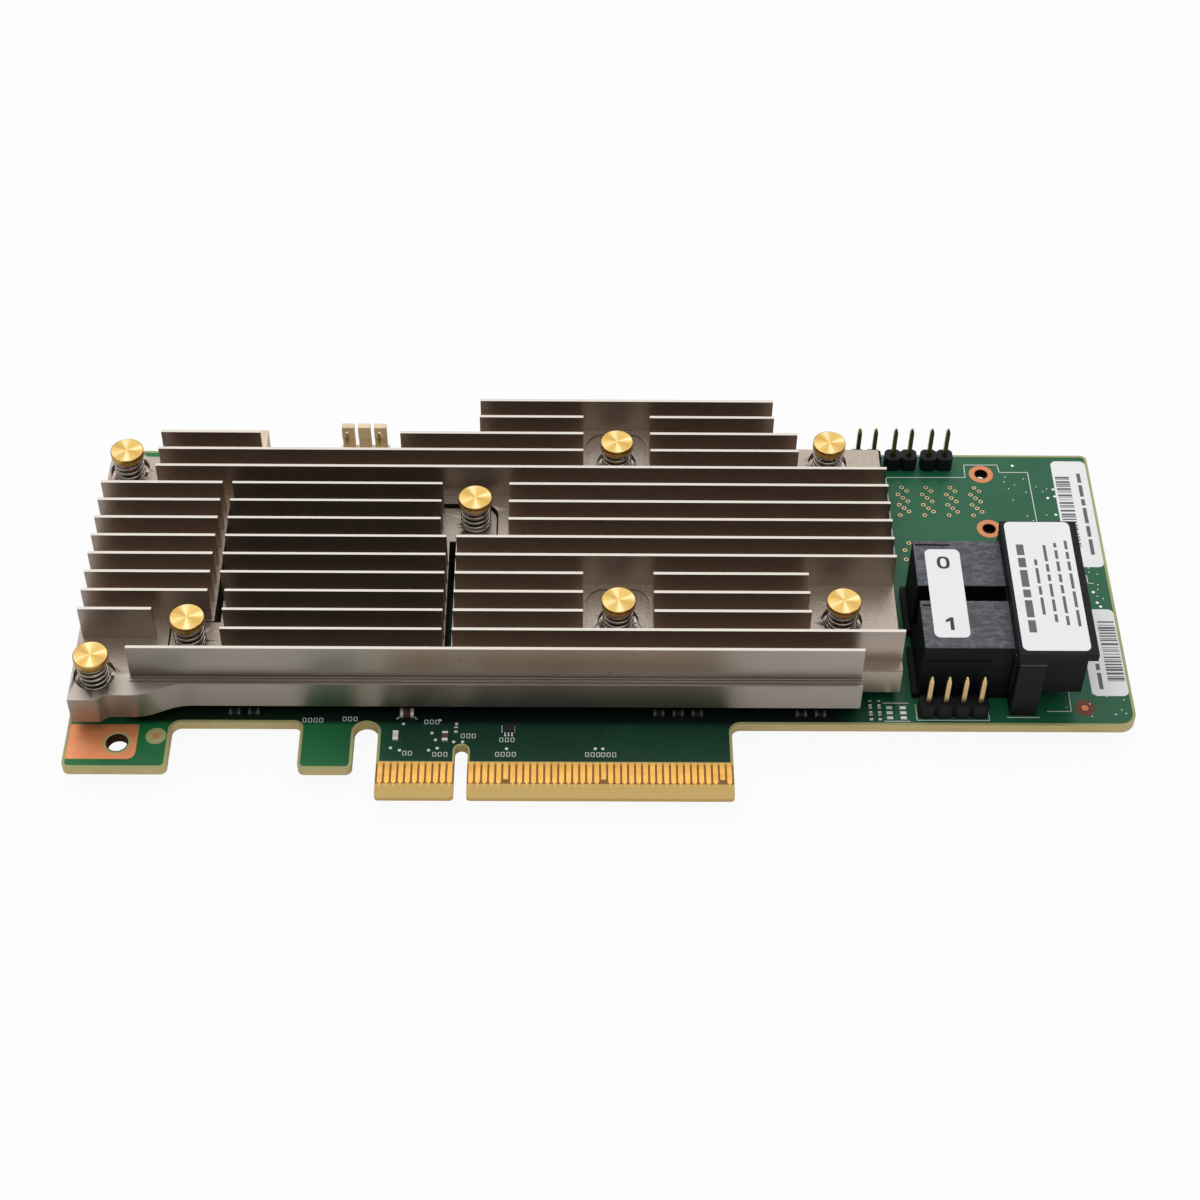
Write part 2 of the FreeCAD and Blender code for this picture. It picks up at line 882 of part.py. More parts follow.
def slot_levels():
    """Middle heights of the two slots."""
    middle = module_low + module_height / 2
    return [middle - card_slot_pitch / 2, middle + card_slot_pitch / 2]


def slot_box(y, level):
    """Room for one board of the plug."""
    return box(module_right - card_slot_depth, module_right, y - card_slot_width / 2,
               y + card_slot_width / 2, level - card_slot_height / 2, level + card_slot_height / 2)


def contact_blades(y):
    """Gold spring contacts: along the floor of the lower slot and the ceiling of the upper one."""
    lower, upper = slot_levels()
    floor = lower - card_slot_height / 2
    ceiling = upper + card_slot_height / 2
    left = module_right - card_slot_depth
    right = module_right - blade_setback
    blades = []
    for index in range(blade_count):
        middle = y + (index - (blade_count - 1) / 2) * blade_pitch
        y0 = middle - blade_width / 2
        y1 = middle + blade_width / 2
        blades.append(box(left, right, y0, y1, floor, floor + blade_height))
        blades.append(box(left, right, y0, y1, ceiling - blade_height, ceiling))
    return blades


# Labels

def hood_label():
    """Blank label on the receptacle's hood."""
    left, right, near, far = hood_label_margins
    return box(hood_left + left, hood_left + hood_width - right, hood_near + near, hood_far - far,
               hood_top, hood_top + label_thickness)


def port_label():
    """Label that lies over both rear bodies and bridges the trench."""
    near, far = port_label_ends
    half = port_pitch / 2 + rear_width / 2
    left = rear_left + port_label_left
    return box(left, left + port_label_width, receptacle_y - half + near, receptacle_y + half - far,
               rear_height, rear_height + label_thickness)


def board_label(size, y0):
    """Label stuck on the board beside its right edge."""
    width, length = size
    right = reach_right - label_edge
    return box(right - width, right, y0, y0 + length, 0, label_thickness)


# Headers

def header_housing(x, y, pins):
    """Row of chamfered cells, each with a square hole for its pin."""
    half = header_pitch / 2
    chamfer = cell_chamfer
    near = []
    far = []
    for index in range(pins):
        left = x + index * header_pitch - half
        right = left + header_pitch
        near += [(left, y - half + chamfer), (left + chamfer, y - half),
                 (right - chamfer, y - half), (right, y - half + chamfer)]
        far += [(left, y + half - chamfer), (left + chamfer, y + half),
                (right - chamfer, y + half), (right, y + half - chamfer)]
    outline = []
    for point in near + far[::-1]:
        if not outline or point != outline[-1]:
            outline.append(point)
    points = [Vector(px, py, 0) for px, py in outline]
    block = Part.Face(Part.makePolygon(points + points[:1])).extrude(Vector(0, 0, header_height))
    size = (pin_width, pin_width, header_height)
    holes = [centred_box(x + index * header_pitch, y, size, 0) for index in range(pins)]
    return block.cut(Part.Compound(holes))


def square_pin(x, y, top, width=pin_width):
    """Square pin with a tapered tip above and a tapered tail under the board."""
    low = board_bottom - pin_tail
    half = width / 2
    tip = half * pin_tip_share
    rings = []
    for level, reach in ((low, tip), (low + pin_tip / 2, half), (top - pin_tip, half), (top, tip)):
        rings.append([Vector(x - reach, y - reach, level), Vector(x + reach, y - reach, level),
                      Vector(x + reach, y + reach, level), Vector(x - reach, y + reach, level)])
    return banded_solid(rings)


def lock_header_housing():
    """Pale base with three posts that hold a plug by their ramps."""
    length, depth, height = lock_header_size
    far = board_width - lock_header_setback
    solids = [box(lock_header_x - length / 2, lock_header_x + length / 2, far - depth, far, 0, height)]
    front = far - lock_post_thickness
    for index in (-1, 0, 1):
        x = lock_header_x + index * header_pitch
        left = x - lock_post_width / 2
        points = [
            Vector(left, far, height), Vector(left, far, lock_post_height),
            Vector(left, front - lock_ramp_reach / 2, lock_post_height),
            Vector(left, front - lock_ramp_reach, lock_ramp_height), Vector(left, front, lock_ramp_height),
            Vector(left, front, height),
        ]
        post = Part.Face(Part.makePolygon(points + points[:1]))
        solids.append(post.extrude(Vector(lock_post_width, 0, 0)))
    size = (pin_width, pin_width, height)
    holes = [centred_box(x, y, size, 0) for x, y in lock_pin_places()]
    return fuse(solids).cut(Part.Compound(holes))


def wire_connector_housing():
    """Low pale connector with a cavity open upwards around its two pins."""
    length, depth, height = wire_connector_size
    x = wire_connector_end - length / 2
    y = board_width - wire_connector_setback - depth / 2
    block = centred_box(x, y, (length, depth, height), 0)
    cavity_length, cavity_depth, cavity_height = wire_cavity
    cavity = centred_box(x, y, (cavity_length, cavity_depth, cavity_height), height - cavity_height)
    size = (wire_pin_width, wire_pin_width, height)
    holes = [centred_box(px, py, size, 0) for px, py in wire_pin_places()]
    return block.cut(Part.Compound([cavity] + holes))


def headers():
    """All pin headers: housings and pins as separate pieces."""
    keep("serial_header_housing", header_housing(serial_header_x, serial_header_y, serial_header_pins))
    top = header_height + serial_pin_length
    keep("serial_header_pins", [square_pin(x, y, top) for x, y in serial_pin_places()])
    for number in range(signal_header_count):
        x = signal_header_x + number * signal_header_step
        housing = header_housing(x, signal_header_y, signal_header_pins)
        keep("signal_header_housing_%d" % (number + 1), housing)
    top = header_height + signal_pin_length
    keep("signal_header_pins", [square_pin(x, y, top) for x, y in signal_pin_places()])
    keep("lock_header_housing", lock_header_housing())
    keep("lock_header_pins", [square_pin(x, y, lock_pin_top) for x, y in lock_pin_places()])
    keep("wire_connector_housing", wire_connector_housing())
    top = wire_connector_size[2] - wire_pin_recess
    keep("wire_connector_pins", [square_pin(x, y, top, wire_pin_width) for x, y in wire_pin_places()])


# Small surface-mounted parts

def chip_parts_front():
    """Chip parts under the heat sink's front lip, and two upright ones on the connector's tongue."""
    length, width, height = fuse_size
    parts_in_row = [centred_box(x, lower_edge + front_chips_setback, chip_size, 0) for x in front_chips]
    upright = [centred_box(x, lower_edge - fuses_setback, (width, length, height), 0) for x in fuses]
    return parts_in_row + upright


def solder_side_capacitors():
    """Grid of small capacitors behind the controller chip."""
    level = board_bottom - solder_chip_size[2]
    grid = []
    for column in range(solder_side_columns):
        for row in range(solder_side_rows):
            x = centre_x + (column - (solder_side_columns - 1) / 2) * solder_side_pitch
            y = centre_y + (row - (solder_side_rows - 1) / 2) * solder_side_pitch
            grid.append(centred_box(x, y, solder_chip_size, level))
    return grid


def six_lead_package(x, y):
    """Body and six leads of a small package, as one solid."""
    length, width, height = package_size
    lead_width, lead_length, lead_height = package_lead
    solids = [centred_box(x, y, package_size, 0)]
    for side in (-1, 1):
        for index in (-1, 0, 1):
            size = (lead_width, lead_length, lead_height)
            lead_y = y + side * (width + lead_length) / 2
            solids.append(centred_box(x + index * package_pitch, lead_y, size, 0))
    return fuse(solids)


def build():
    """Make every piece of the card."""
    keep("circuit_board", circuit_board())
    keep("edge_contacts_component_side", contact_row(short_contacts_top, 0))
    keep("edge_contacts_solder_side", contact_row(short_contacts_bottom, board_bottom - copper_thickness))
    keep("main_heat_sink", main_heat_sink())
    keep("centre_heat_sink", centre_heat_sink())
    fasteners()
    keep("controller_chip", controller_chip())
    keep("controller_thermal_pad", controller_pad())
    for number, (x, y) in enumerate(memory_places(), 1):
        keep("memory_chip_%d" % number, centred_box(x, y, memory_size + (memory_height,), 0))
    keep("flash_chip", centred_box(flash_x, row_y(flash_row), flash_size + (flash_height,), 0))
    keep("thermal_pads", memory_pads())
    keep("power_inductors", power_inductors())
    keep("receptacle_housing", receptacle_housing())
    for number, y in enumerate(port_centres()):
        keep("contact_module_%d" % number, contact_module(y))
        keep("port_contacts_%d" % number, contact_blades(y))
    keep("hood_label", hood_label())
    keep("port_label", port_label())
    keep("board_label_far", board_label(far_label, board_width - far_label_setback - far_label[1]))
    keep("board_label_near", board_label(near_label, lower_edge + near_label_start))
    headers()
    keep("chip_parts", chip_parts_front())
    keep("solder_side_capacitors", solder_side_capacitors())
    keep("six_lead_package", six_lead_package(package_x, package_y))


build()
os.makedirs("parts", exist_ok=True)
for name, solids in parts.items():
    shape = solids[0] if len(solids) == 1 else Part.Compound(solids)
    shape.exportStep("parts/%s.step" % name)
print(len(parts), "pieces")
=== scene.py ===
# %% [markdown]
# A low-profile storage controller card
#
# The card is a green circuit board with a gold edge connector. Finned heat sinks cover most of
# it, held down by brass push pins with springs, and a twin cable receptacle stands at its right.
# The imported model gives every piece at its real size. This lesson keeps those sizes and gives
# the pieces their finish: turned brass, coiled wire, solder mask, plated copper and printed ink.

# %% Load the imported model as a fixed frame
import math

import bmesh
import bpy
import numpy as np
from mathutils import Matrix, Vector


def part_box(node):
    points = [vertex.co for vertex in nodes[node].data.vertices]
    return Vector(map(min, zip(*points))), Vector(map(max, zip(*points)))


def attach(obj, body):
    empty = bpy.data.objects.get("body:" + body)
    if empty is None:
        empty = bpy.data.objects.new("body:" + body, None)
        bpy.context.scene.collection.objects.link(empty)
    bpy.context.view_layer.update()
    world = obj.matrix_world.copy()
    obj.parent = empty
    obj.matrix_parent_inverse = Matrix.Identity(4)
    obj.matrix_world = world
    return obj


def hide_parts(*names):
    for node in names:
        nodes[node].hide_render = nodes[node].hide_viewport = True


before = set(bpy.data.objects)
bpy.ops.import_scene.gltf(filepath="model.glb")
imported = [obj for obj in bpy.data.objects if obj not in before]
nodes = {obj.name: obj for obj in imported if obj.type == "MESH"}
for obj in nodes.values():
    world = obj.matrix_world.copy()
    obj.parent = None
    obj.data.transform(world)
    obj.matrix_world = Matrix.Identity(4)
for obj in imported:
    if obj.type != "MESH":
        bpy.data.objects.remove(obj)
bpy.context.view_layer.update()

print(len(nodes), "nodes in the frame")

# %% [markdown]
# Places on a board are easiest to give from its own landmarks: the middle of the key notch, the
# tips of the edge connector and the side that carries the parts. The board's box in the frame
# says where those are, so one small function turns millimetres on the board into scene metres.

# %% Places on the board
MM = 0.001
board_low, board_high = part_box("circuit_board")
REACH_LEFT = 57.15
REACH_RIGHT = 98.50
LOWER_EDGE = 13.25
FAR_EDGE = 68.90
THICKNESS = (board_high.z - board_low.z) / MM
ORIGIN = np.array([board_low.x + REACH_LEFT * MM, board_low.y, board_high.z])


def to_scene(points):
    """Metres in the scene from millimetres on the board: divide by 1000 and add the landmark."""
    return np.asarray(points, float) * MM + ORIGIN


def on_board(corner):
    """Millimetres on the board from a point of the scene: the reverse of to_scene."""
    return (np.array(corner) - ORIGIN) / MM


def node_box(name):
    """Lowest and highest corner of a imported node, in millimetres on the board."""
    low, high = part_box(name)
    return on_board(low), on_board(high)


FIRST_ROW = 67.23
ROW_PITCH = 3.64
ROWS = 15
FIN_TOP = node_box("main_heat_sink")[1][2]
SINK_BASE_TOP = node_box("pin_spring_7")[0][2]
FRONT_WALL = FIRST_ROW - (ROWS - 1) * ROW_PITCH
REAR_TOP = node_box("port_label")[0][2]
print("board", round(THICKNESS, 3), "mm thick, fins up to", round(FIN_TOP, 2))

# %% [markdown]
# Most new pieces are sets of grids. A grid is an array of points that two parameters walk over,
# such as the angle and the height on a turned pin. Neighbouring points make a four-sided face,
# so the faces come from array slices and no loop visits a vertex. Doubled points at seams and
# poles are merged at the end, and the faces are turned outwards.

# %% Make a mesh from grids
def grid_faces(shape, start, wrap):
    """Quads between neighbouring rows and columns; wrap also joins the last column to the first."""
    index = start + np.arange(shape[0] * shape[1]).reshape(shape[:2])
    if wrap:
        index = np.hstack([index, index[:, :1]])
    corners = (index[:-1, :-1], index[:-1, 1:], index[1:, 1:], index[1:, :-1])
    return np.stack(corners, axis=-1).reshape(-1, 4)


def mesh_of(name, grids):
    """One mesh from (points, wrap) grids in millimetres on the board."""
    points = []
    faces = []
    count = 0
    for grid, wrap in grids:
        faces.append(grid_faces(grid.shape, count, wrap))
        points.append(grid.reshape(-1, 3))
        count += len(points[-1])
    mesh = bpy.data.meshes.new(name)
    mesh.from_pydata(to_scene(np.vstack(points)), [], np.vstack(faces))
    clean(mesh)
    return mesh


def clean(mesh, distance=2e-7):
    """Merges doubled points and turns every closed shell outwards."""
    work = bmesh.new()
    work.from_mesh(mesh)
    bmesh.ops.remove_doubles(work, verts=work.verts, dist=distance)
    bmesh.ops.dissolve_degenerate(work, edges=work.edges, dist=distance)
    bmesh.ops.recalc_face_normals(work, faces=work.faces)
    work.to_mesh(mesh)
    work.free()


SMOOTH_ANGLE = math.radians(50)


def finish_piece(name, mesh, material, stands_for=()):
    """Puts a mesh into the scene as one piece of the card."""
    piece = bpy.data.objects.new(name, mesh)
    bpy.context.scene.collection.objects.link(piece)
    mesh.materials.clear()
    mesh.materials.append(material)
    mesh.polygons.foreach_set("use_smooth", [True] * len(mesh.polygons))
    mesh.set_sharp_from_angle(angle=SMOOTH_ANGLE)
    even = piece.modifiers.new("even_shading", "WEIGHTED_NORMAL")
    even.keep_sharp = True
    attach(piece, "root")
    if stands_for:
        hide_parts(*stands_for)
    print(name, len(mesh.polygons), "faces")
    return piece


def grid_piece(name, grids, material, stands_for=()):
    """One piece straight from its grids."""
    finish_piece(name, mesh_of(name, grids), material, stands_for)


# %% [markdown]
# Three kinds of grid make nearly all the small pieces. A turned part is a profile of radius and
# height carried round an axis. A wire is a circle carried along a path. A moulded block is a
# small ball pulled apart at its quadrants, which leaves flat sides and rounded edges.

# %% Three kinds of grid
def turned(centre, profile, sides=48):
    """Point at angle a and profile place t: centre + (r(t) cos a, r(t) sin a), height z(t)."""
    profile = np.asarray(profile, float)
    angle = np.linspace(0, 2 * np.pi, sides, endpoint=False)
    radius = profile[:, :1]
    x = centre[0] + radius * np.cos(angle)
    y = centre[1] + radius * np.sin(angle)
    z = np.repeat(profile[:, 1:], sides, axis=1)
    return np.stack([x, y, z], axis=-1), True


def wire(path, across, radius, sides=10):
    """Ring i is path(i) plus radius times a circle between across(i) and the direction square to
    across(i) and to the path: cos a times the first plus sin a times the second."""
    ahead = np.gradient(path, axis=0)
    ahead /= np.linalg.norm(ahead, axis=1, keepdims=True)
    third = np.cross(ahead, across)
    third /= np.linalg.norm(third, axis=1, keepdims=True)
    angle = np.linspace(0, 2 * np.pi, sides, endpoint=False)
    ring = (np.cos(angle)[:, None] * across[:, None, :]
            + np.sin(angle)[:, None] * third[:, None, :])
    grid = path[:, None, :] + radius * ring
    ends = [np.repeat(path[index:index + 1 or None, None, :], sides, axis=1) for index in (0, -1)]
    return np.concatenate([ends[0], grid, ends[1]]), True


def with_ends(skin, corners):
    """A skin that closes round, and the two flat faces that shut its first and its last row."""
    ends = [(row[corners][[0, 1, 3, 2]].reshape(2, 2, 3), False) for row in (skin[0], skin[-1])]
    return [(skin, True)] + ends


def block(low, high, radius, steps=2):
    """A point is the nearest corner of the shrunken block plus radius times a direction. The
    directions run over a ball, and each quadrant's limits come twice, so the sides are flat."""
    low = np.asarray(low, float)
    high = np.asarray(high, float)
    quarter = np.linspace(0, np.pi / 2, steps + 1)
    turn = np.concatenate([quarter + q * np.pi / 2 for q in range(4)])
    rise = np.concatenate([quarter - np.pi / 2, quarter])
    side_x = np.repeat([1, -1, -1, 1], steps + 1)
    side_y = np.repeat([1, 1, -1, -1], steps + 1)
    side_z = np.repeat([-1, 1], steps + 1)
    half = (high - low) / 2 - radius
    middle = (high + low) / 2
    x = middle[0] + side_x * half[0] + radius * np.cos(rise)[:, None] * np.cos(turn)
    y = middle[1] + side_y * half[1] + radius * np.cos(rise)[:, None] * np.sin(turn)
    level = middle[2] + side_z * half[2] + radius * np.sin(rise)
    z = np.repeat(level[:, None], len(turn), axis=1)
    return with_ends(np.stack([x, y, z], axis=-1), np.arange(4) * (steps + 1))


def washer(centre, inner, outer, low, high, sides=32):
    """Flat ring: a small rectangle of radius and height carried round an axis."""
    profile = [(inner, low), (outer, low), (outer, high), (inner, high), (inner, low)]
    return turned(centre, profile, sides)


def disc(centre, radius, low, high, sides=24):
    """Flat disc with closed faces."""
    return turned(centre, [(0, low), (radius, low), (radius, high), (0, high)], sides)


def bar(start, end, width, low, high):
    """Flat bar along a line: its corners are the line's ends, moved sideways by half the width."""
    start = np.asarray(start, float)
    end = np.asarray(end, float)
    ahead = (end - start) / np.linalg.norm(end - start)
    side = np.array([-ahead[1], ahead[0]]) * width / 2
    corners = np.array([start - side, end - side, end + side, start + side])
    skin = np.stack([np.column_stack([corners, np.full(4, level)]) for level in (low, high)])
    return with_ends(skin, np.arange(4))


# %% [markdown]
# A material is written as sums. One small class wraps the output of a node, and Python's own
# operators add the Math nodes, so that a mask is written as it would be on paper. A second
# class makes every other node through one method and ends in the surface shader.

# %% Shader sums in Python
class Wave:
    """The output of a node. Operators with numbers or other outputs add Math nodes."""

    def __init__(self, tree, socket):
        self.tree = tree
        self.socket = socket

    def math(self, operation, *values):
        """A Math node of that operation, fed with values or outputs."""
        made = self.tree.nodes.new("ShaderNodeMath")
        made.operation = operation
        for place, value in zip(made.inputs, values):
            if isinstance(value, Wave):
                self.tree.links.new(value.socket, place)
            else:
                place.default_value = value
        return Wave(self.tree, made.outputs[0])

    def __add__(self, other):
        return self.math("ADD", self, other)

    def __sub__(self, other):
        return self.math("SUBTRACT", self, other)

    def __rsub__(self, other):
        return self.math("SUBTRACT", other, self)

    def __mul__(self, other):
        return self.math("MULTIPLY", self, other)

    def __truediv__(self, other):
        return self.math("DIVIDE", self, other)

    def __gt__(self, other):
        return self.math("GREATER_THAN", self, other)

    def __lt__(self, other):
        return self.math("LESS_THAN", self, other)

    def sine(self):
        """Sine of the value."""
        return self.math("SINE", self)

    def size(self):
        """The value without its sign."""
        return self.math("ABSOLUTE", self)

    def ramp(self, low, high):
        """0 below low, 1 above high, and a straight slope between them."""
        scaled = (self - low) / (high - low)
        return scaled.math("MINIMUM", scaled.math("MAXIMUM", scaled, 0.0), 1.0)

    __radd__ = __add__
    __rmul__ = __mul__


def opaque(colour):
    """A colour with full cover; the output of a node stays as it is."""
    return colour if isinstance(colour, Wave) else (*colour, 1.0)


def shade(tone, share):
    """A colour whose three parts are multiplied by a share."""
    return tuple(part * share for part in tone)


class Finish:
    """A material being written."""

    def __init__(self, name):
        self.material = bpy.data.materials.new(name)
        self.material.use_nodes = True
        self.tree = self.material.node_tree
        self.tree.nodes.clear()
        self.place = self.node("ShaderNodeTexCoord", output="Object")

    def node(self, kind, settings=(), output=0, **sockets):
        """Any node: its settings come first, then the values or links of its sockets by name."""
        made = self.tree.nodes.new(kind)
        for key, value in dict(settings).items():
            setattr(made, key, value)
        for key, value in sockets.items():
            name = key.replace("_", " ")
            place = made.inputs[int(name[1:])] if name[1:].isdigit() else made.inputs[name]
            if isinstance(value, Wave):
                self.tree.links.new(value.socket, place)
            else:
                place.default_value = value
        return Wave(self.tree, made.outputs[output])

    def split(self, axis):
        """One coordinate of the piece, in metres."""
        return self.node("ShaderNodeSeparateXYZ", output=axis, Vector=self.place)

    def board(self, axis):
        """One coordinate in millimetres on the board."""
        return (self.split(axis) - float(ORIGIN[axis])) / MM

    def height(self):
        """Height above the board's component side, in millimetres."""
        return self.board(2)

    def stretched(self, scale):
        """Object coordinates in millimetres, scaled along each axis."""
        return self.node("ShaderNodeMapping", Vector=self.place, Scale=shade(scale, 1 / MM))

    def larger(self, first, second):
        """The larger of two values."""
        return first.math("MAXIMUM", first, second)

    def noise(self, scale, detail=3.0, rough=0.55):
        """Cloudy value about 0.5; scale is in waves per millimetre along each axis."""
        return self.node("ShaderNodeTexNoise", Vector=self.stretched(scale), Scale=1.0,
                         Detail=detail, Roughness=rough)

    def mix(self, factor, first, second):
        """Blend of two colours."""
        return self.node("ShaderNodeMix", {"data_type": "RGBA"}, output=2,
                         _0=factor, _6=opaque(first), _7=opaque(second))

    def bump(self, height, depth, strength=1.0):
        """Surface direction tilted by a height from 0 to 1; depth is its size in millimetres."""
        return self.node("ShaderNodeBump", Height=height, Distance=depth * MM, Strength=strength)

    def surface(self, colour, **sockets):
        """Ends the material in one Principled shader and returns it."""
        return self.end(self.node("ShaderNodeBsdfPrincipled", Base_Color=colour, **sockets))

    def end(self, shader):
        """Leads a shader to the output of the material and returns the material."""
        output = self.tree.nodes.new("ShaderNodeOutputMaterial")
        self.tree.links.new(shader.socket, output.inputs[0])
        return self.material


# %% [markdown]
# The heat sinks are extruded aluminium with a warm nickel-toned plate. Extrusion leaves faint
# lines along the fins, so the noise is stretched hundreds of times along X. The walls between the
# fins mirror each other and so darken by themselves. Large soft lamps reach less deep between
# them than small ones do, so painted light makes those walls paler, most towards the foot of the
# fins. A cutter left the milled base grainy, and the tips get a painted highlight; both are told
# apart by their height. The centre sink is an extrusion of its own, and the walls between its
# fins get one darker tone, a painted shade.
#
# The brass is for the push pins. Each has a UV map of its head, because the pattern there goes
# round the pin's own axis, which object coordinates don't know.

# %% Finishes of the metals
TIP_DEPTH = 0.04
WALL_FOOT = FIN_TOP - 4.5
WALL_TOP = FIN_TOP - 0.3
MILLED_LEVEL = SINK_BASE_TOP - 0.13
MILLED_HALF = 0.19
HEAD_TOP = float(node_box("push_pin_1")[1][2])
FACE_DEPTH = 0.12
RINGS_ON_HEAD = 7


def plated_aluminium(name, painted_wall_top, painted_wall_foot):
    """Warm satin plate: painted tones between the fins, milled grain, a painted highlight on the
    tips.
    """
    f = Finish(name)
    lines = f.noise((0.012, 3.0, 5.0), detail=4.0)
    cloud = f.noise((0.05, 0.08, 0.08), detail=2.0)
    sand = f.noise((4.5, 4.5, 4.5), detail=2.0, rough=0.7)
    specks = f.noise((0.9, 0.9, 0.9), detail=1.0).ramp(0.74, 0.80)
    inside = f.split(1) > float(ORIGIN[1] + FRONT_WALL * MM)
    milled = inside * ((f.height() - MILLED_LEVEL).size() < MILLED_HALF)
    tips = f.height() > (FIN_TOP - TIP_DEPTH)
    colour = f.mix(cloud.ramp(0.35, 0.65), (0.385, 0.345, 0.305), (0.435, 0.390, 0.345))
    colour = f.mix(specks * 0.5, colour, (0.16, 0.13, 0.11))
    # The walls between the fins take painted tones, changing from their top down to their foot.
    painted_wall_light = f.mix(f.height().ramp(WALL_FOOT, WALL_TOP), painted_wall_foot, painted_wall_top)
    colour = f.mix(inside, colour, painted_wall_light)
    grains = f.mix(sand.ramp(0.38, 0.62), (0.27, 0.23, 0.19), (0.46, 0.39, 0.33))
    colour = f.mix(milled, colour, grains)
    # Painted highlight: the tips of the fins are written brighter than the rest of the plate.
    colour = f.mix(tips, colour, (0.54, 0.50, 0.45))
    rough = 0.34 + lines * 0.10 - inside * 0.05 + milled * sand * 0.10
    return f.surface(colour, Metallic=1.0, Roughness=rough,
                     Normal=f.bump(lines * 0.3 + milled * sand, 0.016, 0.7))


def turned_brass():
    """Bright brass. On the head, rings follow the sine of the radius; painted highlight and shade
    wedges follow a sum of sines of the angle, and the face is painted lighter than the sides."""
    f = Finish("turned_brass")
    cloud = f.noise((0.6, 0.6, 0.6))
    chart = f.node("ShaderNodeUVMap", {"uv_map": "head"})
    across, along = [f.node("ShaderNodeSeparateXYZ", output=axis, Vector=chart) * 2.0 - 1.0
                     for axis in (0, 1)]
    square = across * across + along * along
    radius = square.math("SQRT", square)
    angle = across.math("ARCTAN2", along, across)
    painted_wedges = ((angle * 4.0 + 0.6).sine() * 0.55 + (angle * 2.0 - 0.7).sine() * 0.3
           + (angle * 7.0).sine() * 0.15)
    rings = (radius * (2 * math.pi * RINGS_ON_HEAD)).sine() * 0.5 + 0.5
    top = f.height() > (HEAD_TOP - FACE_DEPTH)
    face = top * (radius < 0.93) * (radius > 0.03)
    colour = f.mix(cloud.ramp(0.4, 0.7), (0.54, 0.31, 0.075), (0.46, 0.26, 0.06))
    # Painted highlight: the face is lighter than the rim and sides; below, the wedges are painted
    # highlight and painted shade.
    colour = f.mix(top, colour, (0.60, 0.40, 0.125))
    colour = f.mix(face * rings * 0.22, colour, (0.34, 0.21, 0.06))
    colour = f.mix(face * (1.0 - painted_wedges.ramp(-0.8, -0.1)) * 0.6, colour, (0.40, 0.24, 0.06))
    colour = f.mix(face * painted_wedges.ramp(0.1, 0.75) * 0.85, colour, (0.82, 0.68, 0.38))
    return f.surface(colour, Metallic=1.0, Roughness=0.22 + cloud * 0.06, Anisotropic=0.8,
                     Anisotropic_Rotation=0.25)


def spring_wire():
    """Bright drawn steel wire."""
    f = Finish("spring_wire")
    cloud = f.noise((1.5, 1.5, 1.5))
    colour = f.mix(cloud, (0.36, 0.33, 0.30), (0.52, 0.48, 0.44))
    return f.surface(colour, Metallic=1.0, Roughness=0.12 + cloud * 0.12)


def gold_plate(name="gold_plate", tone=(0.85, 0.46, 0.11)):
    """Thin gold on copper, a little uneven."""
    f = Finish(name)
    cloud = f.noise((0.7, 0.7, 0.7))
    return f.surface(f.mix(cloud.ramp(0.35, 0.75), tone, shade(tone, 0.84)), Metallic=1.0,
                     Roughness=0.26 + cloud * 0.16,
                     Normal=f.bump(f.noise((6, 6, 6)), 0.004, 0.5))


def tin_solder():
    """Grey tin on the ends of small parts and on soldered tails."""
    f = Finish("tin_solder")
    cloud = f.noise((2.0, 2.0, 2.0))
    return f.surface(f.mix(cloud, (0.78, 0.78, 0.77), (0.92, 0.92, 0.90)), Metallic=0.3,
                     Roughness=0.25 + cloud * 0.25, Normal=f.bump(cloud, 0.02, 0.5))


# %% [markdown]
# A board is glass cloth in resin, coloured green only by the solder mask on its two faces. Under
# the mask the copper shows as slightly paler and raised lines, which two crossed sets of bands
# can suggest: a band is drawn where a cloudy value allows it. On the component side the green is
# deep near the contacts, a painted shade of the heat sink, and paler towards both ends of the
# board, a painted light. Hardly any light gets in under the front lip of the heat sink, and soft
# lamps would fill that strip, so it is written dark.

# %% Finishes of the board
TONGUE_MIDDLE = 13.50
TONGUE_HALF = 25.60
TONGUE_TOP = 6.0
CONTACT_MIDDLE = 4.0
CONTACT_HALF = 1.75
SKIN = 0.02
TRACE_PITCH = 0.8
SHADED_NEAR = (12.7, 13.6)
SHADED_FAR = (18.0, 22.0)
SHADED_LEFT = (-50.0, -47.0)
SHADED_RIGHT = (54.0, 60.0)


def glass_cloth():
    """Cream resin whose glass layers show as faint bands; browner on and between the contacts."""
    f = Finish("glass_cloth")
    cloud = f.noise((0.5, 0.5, 0.5))
    layers = f.noise((0.3, 0.3, 7.0), detail=2.0)
    bands = (cloud * 0.5 + layers * 0.5).ramp(0.3, 0.7)
    colour = f.mix(bands, (0.57, 0.45, 0.20), (0.74, 0.59, 0.27))
    faces = (f.height() + THICKNESS / 2).size() > (THICKNESS / 2 - SKIN)
    beside = (f.board(0) - TONGUE_MIDDLE).size() < TONGUE_HALF
    tongue = beside * (f.board(1) < TONGUE_TOP)
    between = beside * ((f.board(1) - CONTACT_MIDDLE).size() < CONTACT_HALF)
    colour = f.mix(faces, colour, (0.42, 0.40, 0.17))
    colour = f.mix(tongue * 0.9, colour, (0.68, 0.44, 0.13))
    colour = f.mix(between * faces, colour, (0.27, 0.12, 0.02))
    return f.surface(colour, Roughness=0.48 + cloud * 0.12, Specular_IOR_Level=0.4)


